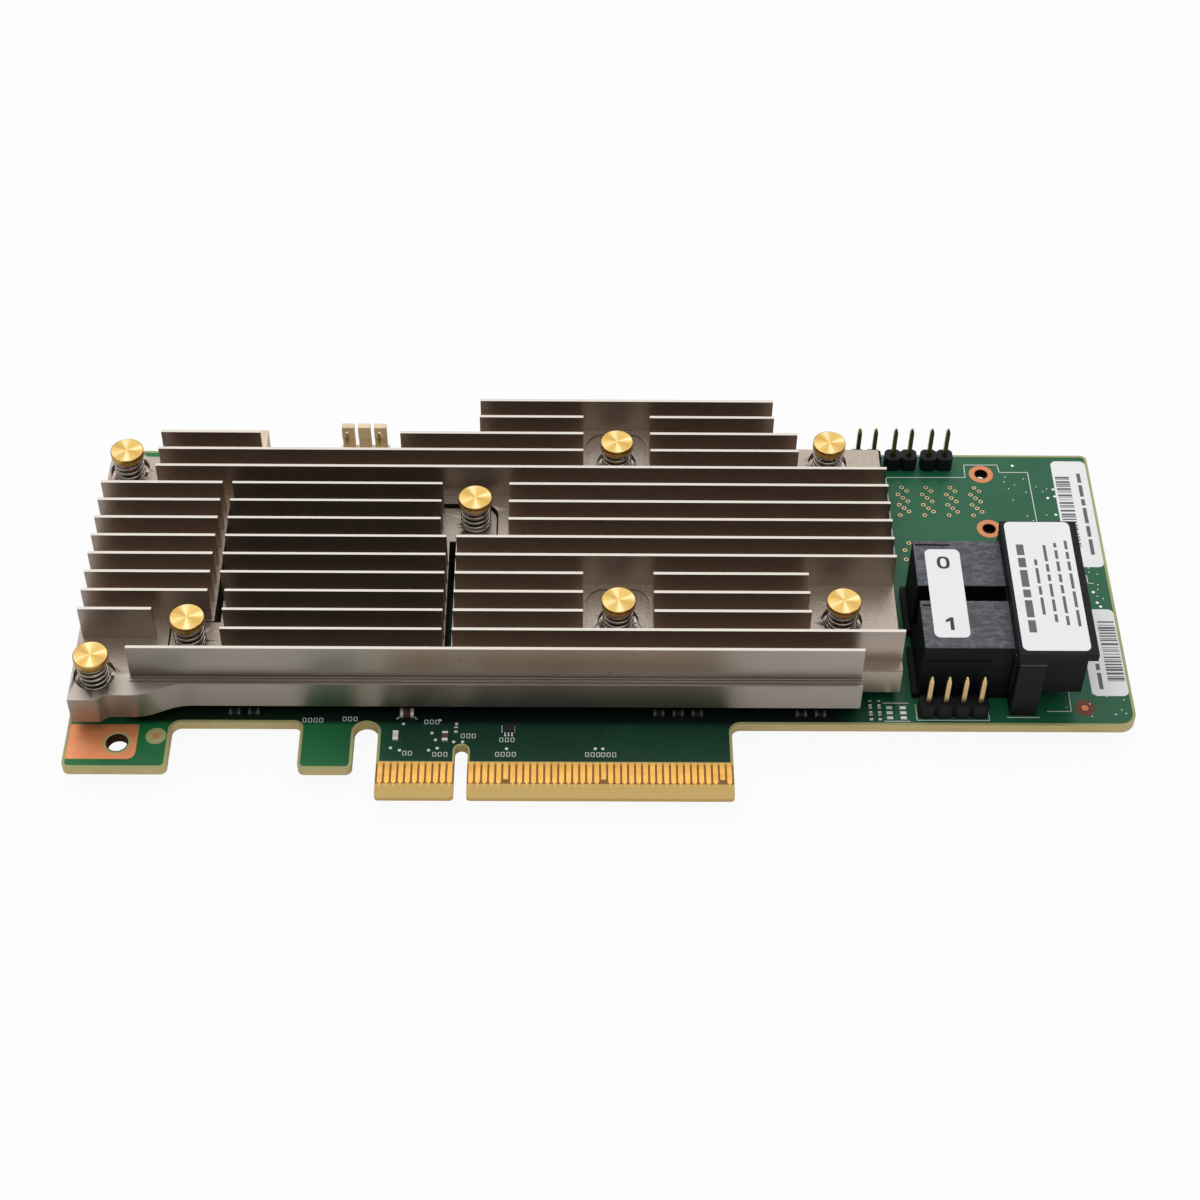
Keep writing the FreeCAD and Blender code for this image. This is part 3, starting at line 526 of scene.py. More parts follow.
def solder_mask():
    """Green lacquer, faint traces; painted shade near the contacts, painted light at both ends."""
    f = Finish("solder_mask")

    def bands(axis, scale, least):
        """Lines one trace pitch apart across an axis, where a stretched noise exceeds a value."""
        wave = (f.split(axis) * (2 * math.pi / (TRACE_PITCH * MM))).sine()
        return wave.ramp(0.55, 0.75) * f.noise(scale, 1.0).ramp(least, least + 0.02)

    traces = f.larger(bands(1, (0.05, 0.45, 0.2), 0.56), bands(0, (0.45, 0.05, 0.2), 0.58))
    cells = f.node("ShaderNodeTexVoronoi", Vector=f.stretched((0.55, 0.55, 0.0)), Scale=1.0)
    dimples = 1.0 - cells.ramp(0.06, 0.16)
    cloud = f.noise((0.09, 0.09, 0.09), detail=2.0)
    ripple = f.noise((0.8, 0.8, 0.8), detail=2.0)
    across = f.board(0)
    upward = f.board(1)
    # Painted shade and light: deep green in the middle, where the heat sink shades the board, paler
    # at both ends.
    tone = f.mix(across.ramp(50.0, 66.0), (0.003, 0.038, 0.020), (0.014, 0.125, 0.055))
    tone = f.mix(1.0 - across.ramp(-22.0, -8.0), tone, (0.014, 0.170, 0.050))
    component_side = f.height() > -THICKNESS / 2
    tone = f.mix(component_side, (0.010, 0.095, 0.042), tone)
    tone = f.mix(cloud.ramp(0.40, 0.75) * 0.35, tone, (0.006, 0.070, 0.036))
    colour = f.mix(f.larger(traces * 0.05, dimples * 0.16), tone, (0.040, 0.170, 0.090))
    shaded = upward.ramp(*SHADED_NEAR) * (1.0 - upward.ramp(*SHADED_FAR)) * component_side
    shaded = shaded * across.ramp(*SHADED_LEFT) * (1.0 - across.ramp(*SHADED_RIGHT))
    colour = f.mix(shaded * 0.93, colour, (0.005, 0.006, 0.006))
    return f.surface(colour, Roughness=0.30 + cloud * 0.10, Coat_Weight=0.10, Coat_Roughness=0.10,
                     Specular_IOR_Level=0.18,
                     Normal=f.bump(traces * 0.3 + ripple * 0.8 + dimples, 0.016, 0.8))


def bare_copper(name="bare_copper", share=1.0):
    """Lacquered copper of the pads, pinkish and almost matt."""
    f = Finish(name)
    cloud = f.noise((0.25, 0.25, 0.25))
    grain = f.noise((8, 8, 8))
    colour = f.mix(cloud.ramp(0.35, 0.7), shade((0.80, 0.27, 0.105), share),
                   shade((0.90, 0.34, 0.145), share))
    return f.surface(colour, Metallic=0.35, Roughness=0.42 + grain * 0.14)


def printed_ink(name, tone):
    """Screen-printed ink with slightly broken cover."""
    f = Finish(name)
    cloud = f.noise((3.0, 3.0, 3.0))
    return f.surface(f.mix(cloud.ramp(0.3, 0.8), tone, shade(tone, 0.78)),
                     Roughness=0.55 + cloud * 0.15)


# %% [markdown]
# Black plastic is never one black. The top of the receptacle's rear is written paler, partly a
# painted sheen and partly scuffs from handling, whose short streaks come from a stretched noise;
# a fine grain breaks up the highlight.

# %% Finishes of plastics, paper and chips
SHEEN_AND_WEAR_DEPTH = 0.10


def moulded(name, tone, rough=0.42, sheen_and_wear_level=None, gloss=0.45):
    """Moulded plastic with grain; faces at that level are paler, a painted sheen, and scuffed."""
    f = Finish(name)
    grain = f.noise((4.0, 4.0, 4.0))
    cloud = f.noise((0.15, 0.15, 0.15))
    colour = f.mix(cloud.ramp(0.3, 0.7), tone, shade(tone, 1.35))
    if sheen_and_wear_level:
        top = (f.height() - sheen_and_wear_level).size() < SHEEN_AND_WEAR_DEPTH
        streaks = f.noise((0.8, 1.6, 1.0), detail=5.0, rough=0.75).ramp(0.42, 0.72)
        # Painted sheen and scuffs: the top mixes towards grey by a third everywhere, more along the
        # streaks.
        colour = f.mix(top * (0.35 + streaks * 0.60), colour, (0.200, 0.202, 0.235))
    return f.surface(colour, Roughness=rough + cloud * 0.12, Specular_IOR_Level=gloss,
                     Normal=f.bump(grain, 0.01, 0.5))


def label_paper():
    """Coated white label stock."""
    f = Finish("label_paper")
    cloud = f.noise((0.2, 0.2, 0.2))
    fibre = f.noise((5, 5, 5))
    return f.surface(f.mix(cloud, (0.84, 0.85, 0.84), (0.90, 0.91, 0.90)),
                     Roughness=0.42 + fibre * 0.1, Normal=f.bump(fibre, 0.004, 0.3))


# Painted light: the main sink's walls between the fins are paler than its plate, most at their
# foot.
METAL = plated_aluminium("plated_aluminium", (0.455, 0.385, 0.345), (0.58, 0.48, 0.41))
# Painted shade: the centre sink's walls between the fins are written darker than the main sink's.
CENTRE_METAL_PAINTED_SHADE = plated_aluminium("centre_plate_painted_shade", (0.37, 0.32, 0.28), (0.37, 0.32, 0.28))
BRASS = turned_brass()
STEEL = spring_wire()
GOLD = gold_plate()
PIN_GOLD = gold_plate("pin_gold", (0.86, 0.62, 0.30))
VIA_GOLD = gold_plate("via_gold", (0.62, 0.43, 0.24))
SHADED_BARREL = gold_plate("plated_barrel", (0.09, 0.042, 0.026))
DARK_GOLD = gold_plate("dark_gold", (0.40, 0.34, 0.17))
TIN = tin_solder()
CLOTH = glass_cloth()
MASK = solder_mask()
COPPER = bare_copper()
RING_COPPER = bare_copper("ring_copper", 0.78)
WHITE_INK = printed_ink("white_ink", (0.72, 0.76, 0.72))
BLACK_INK = printed_ink("black_ink", (0.03, 0.03, 0.035))
GREY_INK = printed_ink("grey_ink", (0.14, 0.14, 0.155))
BLACK = moulded("receptacle_black", (0.006, 0.006, 0.008), sheen_and_wear_level=REAR_TOP, gloss=0.15)
HEADER = moulded("header_black", (0.008, 0.008, 0.010), rough=0.5, gloss=0.20)
IVORY = moulded("ivory_nylon", (0.70, 0.57, 0.38), rough=0.4)
EPOXY = moulded("chip_epoxy", (0.012, 0.012, 0.013), rough=0.5, gloss=0.3)
CERAMIC = moulded("capacitor_ceramic", (0.085, 0.040, 0.025), rough=0.5)
RESISTOR = moulded("resistor_black", (0.03, 0.03, 0.035), rough=0.35)
PALE = moulded("fuse_white", (0.62, 0.62, 0.58), rough=0.45)
PAD = moulded("thermal_pad", (0.36, 0.38, 0.40), rough=0.75)
FERRITE = moulded("inductor_grey", (0.09, 0.09, 0.095), rough=0.6)
PAPER = label_paper()
print(len(bpy.data.materials), "materials")

# %% [markdown]
# Machined and moulded edges are never perfectly sharp: a narrow bevel catches a line of light
# along each one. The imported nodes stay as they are, so a merged copy of the mesh gets the bevel
# and stands for the node.

# %% Copies of nodes with broken edges
BEVEL_ANGLE = math.radians(40)


def broken_edges(node, material, width, steps=1):
    """A merged copy of a node whose sharp edges get a bevel that wide, in millimetres."""
    mesh = nodes[node].data.copy()
    clean(mesh)
    piece = finish_piece(node + "_edges", mesh, material, [node])
    bevel = piece.modifiers.new("broken_edges", "BEVEL")
    bevel.width = width * MM
    bevel.segments = steps
    bevel.limit_method = "ANGLE"
    bevel.angle_limit = BEVEL_ANGLE
    piece.modifiers.move(len(piece.modifiers) - 1, 0)


broken_edges("main_heat_sink", METAL, 0.05)
broken_edges("centre_heat_sink", CENTRE_METAL_PAINTED_SHADE, 0.05)
broken_edges("receptacle_housing", BLACK, 0.10, steps=2)
broken_edges("lock_header_housing", IVORY, 0.08, steps=2)
broken_edges("wire_connector_housing", IVORY, 0.08, steps=2)
broken_edges("serial_header_housing", HEADER, 0.12, steps=2)
for number in range(1, 4):
    broken_edges("signal_header_housing_%d" % number, HEADER, 0.12, steps=2)

# %% [markdown]
# The nodes whose shape needs nothing more only get their finish.

# %% Finishes on the remaining nodes
plain_nodes = {
    CLOTH: ["circuit_board"],
    GOLD: ["edge_contacts_component_side", "edge_contacts_solder_side", "port_contacts_0",
           "port_contacts_1"],
    PIN_GOLD: ["serial_header_pins", "lock_header_pins", "wire_connector_pins"],
    DARK_GOLD: ["signal_header_pins"],
    BLACK: ["contact_module_0", "contact_module_1"],
    EPOXY: ["controller_chip", "flash_chip", "memory_chip_1", "memory_chip_2", "memory_chip_3",
            "memory_chip_4", "memory_chip_5"],
    PAD: ["controller_thermal_pad", "thermal_pads"],
    FERRITE: ["power_inductors"],
}
for material, names in plain_nodes.items():
    for name in names:
        mesh = nodes[name].data
        mesh.materials.clear()
        mesh.materials.append(material)
    print(material.name, "on", len(names), "nodes")

# %% [markdown]
# The push pins are turned from brass bar. A cutting tool leaves fine rings on the face of the
# head, and the light of small lamps gathers on them into bright wedges. The rings are modelled a
# hundredth of a millimetre deep, but the large soft lamps here give no wedges, so the material
# paints them, as painted highlights with painted shade between, and paints the face lighter than
# the sides. It takes the angle from a UV map that gives each point its place across the head.

# %% Push pins
HEAD_RADIUS = (node_box("push_pin_1")[1] - node_box("push_pin_1")[0])[0] / 2
HEAD_THICKNESS = 1.25
RIM_ROUND = 0.16
EDGE_BREAK = 0.10
RING_PITCH = 0.24
RING_DEPTH = 0.010
POINTS_PER_RING = 6
HUB_TOP_RADIUS = 1.66
HUB_END_RADIUS = 1.35
HUB_LENGTH = 1.40
STEM_RADIUS = 0.90
BARB_RADIUS = 1.85
BARB_BREAK = (0.05, 0.35)
TIP_RADIUS = 0.80


def pin_profile(top, under_head, barb_top, tip):
    """Radius and height from the middle of the face to the tip. The face sinks by half the ring
    depth times one minus the cosine of the rings' phase; then rim, hub, stem and barb follow."""
    face_edge = HEAD_RADIUS - RIM_ROUND
    radius = np.linspace(0, face_edge, int(face_edge / RING_PITCH) * POINTS_PER_RING + 1)
    ripple = (1 - np.cos(2 * np.pi * radius / RING_PITCH)) / 2
    face = np.stack([radius, top - RING_DEPTH * ripple], axis=1)
    bend = np.linspace(np.pi / 2, 0, 4)[:, None]
    rim = np.hstack([face_edge + RIM_ROUND * np.cos(bend),
                     top - RIM_ROUND + RIM_ROUND * np.sin(bend)])
    body = np.array([
        (HEAD_RADIUS, under_head + EDGE_BREAK), (HEAD_RADIUS - EDGE_BREAK, under_head),
        (HUB_TOP_RADIUS, under_head), (HUB_END_RADIUS, under_head - HUB_LENGTH),
        (STEM_RADIUS, under_head - HUB_LENGTH), (STEM_RADIUS, barb_top),
        (BARB_RADIUS, barb_top), (BARB_RADIUS - BARB_BREAK[0], barb_top - BARB_BREAK[1]),
        (TIP_RADIUS, tip), (0, tip),
    ])
    return np.vstack([face, rim, body])


def board_points(mesh):
    """The vertices of a mesh, in millimetres on the board."""
    points = np.empty(len(mesh.vertices) * 3)
    mesh.vertices.foreach_get("co", points)
    return on_board(points.reshape(-1, 3))


def head_chart(mesh, centre):
    """UV map whose u and v are 0.5 plus the offset from the axis over the head's diameter."""
    corner = np.empty(len(mesh.loops), int)
    mesh.loops.foreach_get("vertex_index", corner)
    offset = board_points(mesh)[corner, :2] - centre
    chart = mesh.uv_layers.new(name="head")
    chart.data.foreach_set("uv", (0.5 + offset / (2 * HEAD_RADIUS)).ravel())


pin_centres = []
for number in range(1, 9):
    low, high = node_box("push_pin_%d" % number)
    centre = (low[:2] + high[:2]) / 2
    pin_centres.append(centre)
    profile = pin_profile(high[2], high[2] - HEAD_THICKNESS, -THICKNESS, low[2])
    name = "turned_pin_%d" % number
    mesh = mesh_of(name, [turned(centre, profile, 64)])
    head_chart(mesh, centre)
    finish_piece(name, mesh, BRASS, ["push_pin_%d" % number])

# %% [markdown]
# Each pin carries a compression spring between the heat sink and the head. The wire climbs as a
# helix, and its first and last part of a turn rise only a little, as closed ends do.

# %% Springs
WIRE_RADIUS = 0.235
SPRING_TURNS = 5.0
FLAT_TURNS = 0.6
EVEN_RISE = 0.14
STEPS_PER_TURN = 28
START_ANGLE = 1.3


def helix(centre, low, high, radius, start):
    """Place at turn t: the centre plus radius times cosine and sine of t. A small share of the
    height rises evenly over all turns, and the rest only between the flat ends."""
    turn = np.linspace(0, SPRING_TURNS, int(SPRING_TURNS * STEPS_PER_TURN) + 1)
    share = np.clip((turn - FLAT_TURNS) / (SPRING_TURNS - 2 * FLAT_TURNS), 0, 1)
    share = share * (1 - EVEN_RISE) + EVEN_RISE * turn / SPRING_TURNS
    angle = start + 2 * np.pi * turn
    outward = np.stack([np.cos(angle), np.sin(angle), np.zeros_like(angle)], axis=1)
    path = outward * radius
    path[:, :2] += centre
    path[:, 2] = low + WIRE_RADIUS + share * (high - low - 2 * WIRE_RADIUS)
    return path, outward


for number, centre in enumerate(pin_centres, 1):
    node = "pin_spring_%d" % number
    low, high = node_box(node)
    middle = (high[0] - low[0]) / 2 - WIRE_RADIUS
    path, outward = helix(centre, low[2], high[2], middle, START_ANGLE * number)
    grids = [wire(path, outward, WIRE_RADIUS)]
    grid_piece("coil_%d" % number, grids, STEEL, [node])

# %% [markdown]
# The solder mask stops just short of the routed edge, which leaves a cream rim of bare board
# round every outline. So the mask is a thin sheet of its own: the board's outline moved inwards,
# with openings where copper stays bare. Moving an outline with rounded corners is simple when
# each side moves by the same distance: a corner goes along both sides' directions at once, and
# its radius shrinks on an outer corner and grows on an inner one.

# %% Outline of the mask
SLOT_RADIUS = 1.75
SECTION_LEFT = -12.15
SECTION_RIGHT = 39.15
KEY_HALF = 0.83
KEY_TOP = 9.06
MASK_END = 6.25
RIM = 0.42
TAB_EDGE = 4.85
SMALLEST_ROUND = 0.02
SHEET_MERGE = 1e-7
board_corners = [
    (-REACH_LEFT, TAB_EDGE, 1.0), (-42.20, TAB_EDGE, 1.0), (-42.20, LOWER_EDGE, 1.4),
    (-23.45, LOWER_EDGE, 1.0), (-23.45, TAB_EDGE, 1.0), (-15.65, TAB_EDGE, 1.0),
    (-15.65, LOWER_EDGE, SLOT_RADIUS),
    (SECTION_LEFT, LOWER_EDGE, SLOT_RADIUS), (SECTION_LEFT, MASK_END - RIM, 0.0),
    (-KEY_HALF, MASK_END - RIM, 0.0), (-KEY_HALF, KEY_TOP, KEY_HALF), (KEY_HALF, KEY_TOP, KEY_HALF),
    (KEY_HALF, MASK_END - RIM, 0.0), (SECTION_RIGHT, MASK_END - RIM, 0.0),
    (SECTION_RIGHT, LOWER_EDGE, 1.4), (REACH_RIGHT, LOWER_EDGE, 2.4), (REACH_RIGHT, FAR_EDGE, 1.0),
    (-REACH_LEFT, FAR_EDGE, 1.0),
]


def rounded_outline(corners, inset=0.0, steps=6):
    """Closed line through rounded corners, moved inwards by inset; corners run anticlockwise."""
    corners = np.asarray(corners, float)
    place = corners[:, :2]
    radius = corners[:, 2]
    ahead = np.roll(place, -1, axis=0) - place
    ahead /= np.linalg.norm(ahead, axis=1, keepdims=True)
    behind = np.roll(ahead, 1, axis=0)
    side_ahead = np.stack([-ahead[:, 1], ahead[:, 0]], axis=1)
    side_behind = np.roll(side_ahead, 1, axis=0)
    bend = behind[:, 0] * ahead[:, 1] - behind[:, 1] * ahead[:, 0]
    corner = place + inset * (side_ahead + side_behind)
    shrunk = np.maximum(radius - np.sign(bend) * inset, SMALLEST_ROUND)
    radius = np.where(radius > 0, shrunk, SMALLEST_ROUND)
    centre = corner + radius[:, None] * (ahead - behind)
    turn = np.linspace(0, np.pi / 2, steps + 1)[None, :, None]
    arc = centre[:, None, :] - radius[:, None, None] * (
        ahead[:, None, :] * np.cos(turn) - behind[:, None, :] * np.sin(turn))
    return arc.reshape(-1, 2)


def circle(centre, radius, steps=28):
    """Points of a circle."""
    angle = np.linspace(0, 2 * np.pi, steps, endpoint=False)
    return np.array(centre) + radius * np.stack([np.cos(angle), np.sin(angle)], axis=1)


def sheet_piece(name, lines, low, high, material, stands_for=()):
    """Thin sheet between two heights, filled between its outline and its openings. A flat curve
    does the filling and becomes a mesh before it is moved to its place on the board."""
    curve = bpy.data.curves.new(name, "CURVE")
    curve.dimensions = "2D"
    curve.fill_mode = "BOTH"
    curve.extrude = (high - low) / 2 * MM
    for line in lines:
        spline = curve.splines.new("POLY")
        spline.points.add(len(line) - 1)
        place = np.zeros((len(line), 4))
        place[:, :2] = np.asarray(line) * MM
        place[:, 3] = 1.0
        spline.points.foreach_set("co", place.ravel())
        spline.use_cyclic_u = True
    flat = bpy.data.objects.new(name + "_line", curve)
    bpy.context.scene.collection.objects.link(flat)
    bpy.context.view_layer.update()
    graph = bpy.context.evaluated_depsgraph_get()
    mesh = bpy.data.meshes.new_from_object(flat.evaluated_get(graph))
    bpy.data.objects.remove(flat)
    mesh.name = name
    mesh.transform(Matrix.Translation(Vector(to_scene((0, 0, (low + high) / 2)))))
    clean(mesh, SHEET_MERGE)
    finish_piece(name, mesh, material, stands_for)


# %% [markdown]
# The openings of the mask show the big copper pad under the bracket's screw, the rings of the
# two plated holes and the sighting marks for the placing machine. The same places serve the
# openings and the copper in them. The walls of the holes are plated too, but little light gets
# down there, so they are written dark, a painted shade; the ring round the right sighting mark
# has the same dark tone.

# %% Mask, copper and rings on the component side
PIN_OPENING = 2.1
MASK_TOP = 0.030
COPPER_TOP = 0.036
SOLDER_SIDE = -THICKNESS
BRACKET_HOLE = (-49.65, 9.35)
BRACKET_OPENING = 2.02
MOUNT_OPENING = 1.95
MOUNT_RING = (1.10, 1.90)
MARK_OPENING = 1.50
MARK_RADIUS = 0.50
MOUNT_HOLES = [(81.10, 64.55), (81.10, 52.60)]
SIGHT_MARKS = [(-44.19, 10.64), (91.19, 16.56)]
pad_corners = [(-56.72, 6.40, 0.1), (-46.80, 6.40, 1.2), (-46.80, 12.75, 0.3), (-56.72, 12.75, 0.1)]
pad_line = rounded_outline(pad_corners)
mask_lines = [rounded_outline(board_corners, RIM), pad_line]
mask_lines += [circle(place, MOUNT_OPENING) for place in MOUNT_HOLES]
mask_lines += [circle(place, MARK_OPENING) for place in SIGHT_MARKS]
pin_lines = [circle(place, PIN_OPENING) for place in pin_centres]
pad_lines = [pad_line, circle(BRACKET_HOLE, BRACKET_OPENING)]
sheet_piece("mask_component_side", mask_lines + pin_lines, 0.0, MASK_TOP, MASK)
sheet_piece("bracket_pad", pad_lines, 0.0, COPPER_TOP, COPPER)
rings = [washer(place, *MOUNT_RING, 0.0, COPPER_TOP) for place in MOUNT_HOLES]
rings += [disc(place, MARK_RADIUS, 0.0, COPPER_TOP) for place in SIGHT_MARKS]
grid_piece("bare_rings", rings, RING_COPPER)

# %% Plated walls of the holes
MOUNT_WALL = (0.96, 1.10)
BRACKET_WALL = (1.50, 1.62)
MARK_DARK_TOP = COPPER_TOP - 0.01
# Painted shade: the plated walls of the holes are written nearly black.
barrels = [washer(place, *MOUNT_WALL, SOLDER_SIDE, COPPER_TOP) for place in MOUNT_HOLES]
barrels.append(washer(BRACKET_HOLE, *BRACKET_WALL, SOLDER_SIDE, MASK_TOP, 48))
barrels.append(washer(SIGHT_MARKS[1], MARK_RADIUS, MARK_OPENING, 0.0, MARK_DARK_TOP))
grid_piece("plated_barrels", barrels, SHADED_BARREL)

# %% [markdown]
# Small plated holes lead signals to the other side, and their rings rise a little above the
# mask. Each cluster has nine. They stand one below the other in steps of 0.75 mm, and a counter
# that goes round three columns gives the slanting rows, so the pattern is one short formula.

# %% Clusters of small plated holes
VIA_RADIUS = 0.35
VIA_HOLE = 0.21
HOLE_TOP = COPPER_TOP + 0.001
CLUSTER_START = np.array([68.14, 61.50])
CLUSTER_PITCH = 3.845
VIA_STEP = (0.72, 0.753)
via_places = [
    CLUSTER_START + (cluster * CLUSTER_PITCH + ((step + 1) % 3 - 1) * VIA_STEP[0],
                     -step * VIA_STEP[1])
    for cluster in range(4) for step in range(9)]
via_places += [(68.2, 49.45), (67.5, 47.95), (67.5, 46.0)]


def both_faces(height):
    """Lower and upper level of a flat thing on the component side and on the solder side."""
    return (0.0, height), (SOLDER_SIDE - height, SOLDER_SIDE)


rings = [washer(place, VIA_HOLE, VIA_RADIUS, low, high, 16)
         for place in via_places for low, high in both_faces(COPPER_TOP)]
# Painted shade: a dark disc on each face stands for the shade inside each small hole.
hole_shade_discs = [disc(place, VIA_HOLE, low, high, 12)
         for place in via_places for low, high in both_faces(HOLE_TOP)]
grid_piece("via_rings", rings, VIA_GOLD)
grid_piece("via_hole_shade", hole_shade_discs, EPOXY)

# %% [markdown]
# Some nodes hold many like solids, such as the pins of the headers, and the box of each solid
# tells where it stands. Vertices that an edge joins belong together, so every vertex takes the
# smallest number among its neighbours until nothing changes any more.

# %% Find the separate solids of a node
def solid_boxes(node):
    """Box of each separate solid in a node, in millimetres on the board."""
    mesh = nodes[node].data.copy()
    clean(mesh)
    points = board_points(mesh)
    ends = np.empty(len(mesh.edges) * 2, int)
    mesh.edges.foreach_get("vertices", ends)
    ends = ends.reshape(-1, 2)
    bpy.data.meshes.remove(mesh)
    group = np.arange(len(points))
    before = None
    while before is None or (before != group).any():
        before = group.copy()
        smallest = before[ends].min(axis=1)
        np.minimum.at(group, ends[:, 0], smallest)
        np.minimum.at(group, ends[:, 1], smallest)
    return [(points[group == number].min(axis=0), points[group == number].max(axis=0))
            for number in np.unique(group)]


tail_places = []
for name in ("serial_header", "signal_header", "lock_header", "wire_connector"):
    tail_places += [((low + high) / 2)[:2] for low, high in solid_boxes(name + "_pins")]
print(len(tail_places), "soldered tails")

# %% [markdown]
# On the solder side, molten tin climbs each pin and freezes as a small hollow-sided cone. The
# mask of that side has openings for the cones, the push pins' barbs and the bare copper.

# %% Solder side
JOINT_RADIUS = 0.92
JOINT_OPENING = JOINT_RADIUS + 0.10
JOINT_HEIGHT = 0.85
PIN_HALF_DIAGONAL = 0.46


def solder_joint(place):
    """Radius shrinks with the square of the height, from the ring on the board to the pin."""
    share = np.linspace(0, 1, 7)
    radius = PIN_HALF_DIAGONAL + (JOINT_RADIUS - PIN_HALF_DIAGONAL) * (1 - share) ** 2
    level = SOLDER_SIDE - share * JOINT_HEIGHT
    profile = np.vstack([(0, SOLDER_SIDE), np.stack([radius, level], axis=1), (0, level[-1])])
    return turned(place, profile, 20)


joints = [solder_joint(place) for place in tail_places]
grid_piece("solder_joints", joints, TIN)
joint_lines = [circle(place, JOINT_OPENING) for place in tail_places]
sheet_piece("mask_solder_side", mask_lines + joint_lines + pin_lines,
            SOLDER_SIDE - MASK_TOP, SOLDER_SIDE, MASK)
sheet_piece("bracket_pad_below", pad_lines, SOLDER_SIDE - COPPER_TOP, SOLDER_SIDE,
            COPPER)

# %% [markdown]
# Chip capacitors and resistors are small fired blocks whose two ends are dipped in metal and
# soldered. Each one is a body with a cap at either end of its longer side. The row under the
# heat sink's lip stands in deep shade, so its bodies and ends are dark.

# %% Chip parts
CAP_SHARE = 0.24
CAP_LIP = 0.02
CAP_ROUND = 0.05
BODY_ROUND = 0.02


def chip_part(low, high):
    """Grids of the body and of the two end caps of one chip part."""
    low = np.array(low, float)
    high = np.array(high, float)
    axis = 0 if high[0] - low[0] > high[1] - low[1] else 1
    cap = (high[axis] - low[axis]) * CAP_SHARE
    first_high = high.copy()
    first_high[axis] = low[axis] + cap
    last_low = low.copy()
    last_low[axis] = high[axis] - cap
    caps = block(low, first_high, CAP_ROUND) + block(last_low, high, CAP_ROUND)
    return block(low + CAP_LIP, high - CAP_LIP, BODY_ROUND, 1), caps


def small_box(x, y, size, low=0.0):
    """Box of (length, width, height) centred on x and y."""
    half = np.array(size[:2]) / 2
    return (x - half[0], y - half[1], low), (x + half[0], y + half[1], low + size[2])


SMALL_CHIP = (0.85, 1.65, 0.5)
TINY_CHIP = (0.5, 1.0, 0.35)
shaded = [box for box in solid_boxes("chip_parts") if not SECTION_LEFT < box[0][0] < 0]
brown = [small_box(-8.12, 14.80, (2.0, 1.2, 0.8)), small_box(-2.44, 10.60, SMALL_CHIP)]
brown += solid_boxes("solder_side_capacitors")
white = [small_box(-9.59, 10.70, SMALL_CHIP)]
black = [small_box(x, y, TINY_CHIP) for x in (59.6, 60.9) for y in (14.5, 15.8, 17.1)]
black.append(small_box(-0.88, 11.85, (0.55, 1.0, 0.35)))
ends = []
shaded_ends = []
for name, boxes, material, tips, stands_for in (
        ("brown_bodies", brown, CERAMIC, ends, ["solder_side_capacitors"]),
        ("white_bodies", white, PALE, ends, []), ("black_bodies", black, RESISTOR, ends, []),
        ("shaded_bodies", shaded, EPOXY, shaded_ends, ["chip_parts"])):
    bodies = []
    for low, high in boxes:
        body, caps = chip_part(low, high)
        bodies += body
        tips += caps
    grid_piece(name, bodies, material, stands_for)
grid_piece("metal_ends", ends, TIN)
# Painted shade: the metal ends of the shaded row are written dark grey.
grid_piece("shaded_ends", shaded_ends, FERRITE)

# %% [markdown]
# The six-lead package has bent leads: each comes out of the body's side, goes down and ends in
# a flat foot.

# %% Six-lead package
PACKAGE_BODY = (1.65, 1.30, 0.75)
PACKAGE_ROUND = 0.08
PACKAGE_GAP = 0.10
PACKAGE_SHIFT = (0.0, 0.25, 0.0)
LEAD_PITCH = 0.50
LEAD_ROUND = 0.03
LEAD_FOOT = (0.26, (0.26, 0.36, 0.13))
LEAD_DROP = (0.08, (0.26, 0.18, 0.45))
low, high = node_box("six_lead_package")
middle = (low + high) / 2 - PACKAGE_SHIFT
body = block(*small_box(middle[0], middle[1], PACKAGE_BODY, PACKAGE_GAP), PACKAGE_ROUND)
grid_piece("package_body", body, EPOXY, ["six_lead_package"])
leads = []
for side in (-1, 1):
    edge = middle[1] + side * PACKAGE_BODY[1] / 2
    for index in (-1, 0, 1):
        x = middle[0] + index * LEAD_PITCH
        for reach, size in (LEAD_FOOT, LEAD_DROP):
            leads += block(*small_box(x, edge + side * reach, size), LEAD_ROUND)
grid_piece("package_leads", leads, TIN)

# %% [markdown]
# Bare pads and test points are flat islands of tin. Tiny specks of bare tin lie in three fields,
# at places drawn from a seeded generator, so that each run gives the same board. The white lines
# are printed: they frame the footprints and follow the heat sink's edge. Rows of tiny empty
# frames stand beside the small parts.

# %% Test points, bare pads and printed lines
DOT_RADIUS = 0.24
SPECK_RADIUS = 0.10
test_points = [
    (-8.57, 13.03), (-10.21, 8.60), (-8.90, 8.19), (-3.29, 13.74), (-4.35, 11.36), (-3.80, 10.10),
    (-0.85, 13.07), (-1.15, 9.75), (0.13, 9.76), (-4.71, 8.21), (-3.49, 8.59), (6.51, 8.54),
    (19.30, 8.60), (20.40, 8.60), (86.36, 66.49), (92.23, 61.26), (92.31, 59.69), (91.16, 59.34),
    (91.99, 55.70), (95.59, 39.35), (95.90, 37.20), (96.30, 36.40),
]
speck_fields = [((84.5, 47.0), (92.0, 64.0), 26), ((94.2, 36.0), (97.6, 46.5), 12),
                ((88.5, 14.6), (97.2, 19.5), 12)]
flat = [disc(place, DOT_RADIUS, 0.0, COPPER_TOP, 14) for place in test_points]
rng = np.random.default_rng(5)
specks = np.vstack([rng.uniform(low, high, (count, 2)) for low, high, count in speck_fields])
flat += [disc(place, SPECK_RADIUS, 0.0, COPPER_TOP, 8) for place in specks]
PAD_HALF = 0.45
PAD_WIDTH = 0.55
for x in (62.4, 64.4):
    for y in (14.55, 15.5, 16.45):
        flat += bar((x - PAD_HALF, y), (x + PAD_HALF, y), PAD_WIDTH, 0.0, COPPER_TOP)
grid_piece("bare_pads", flat, TIN)

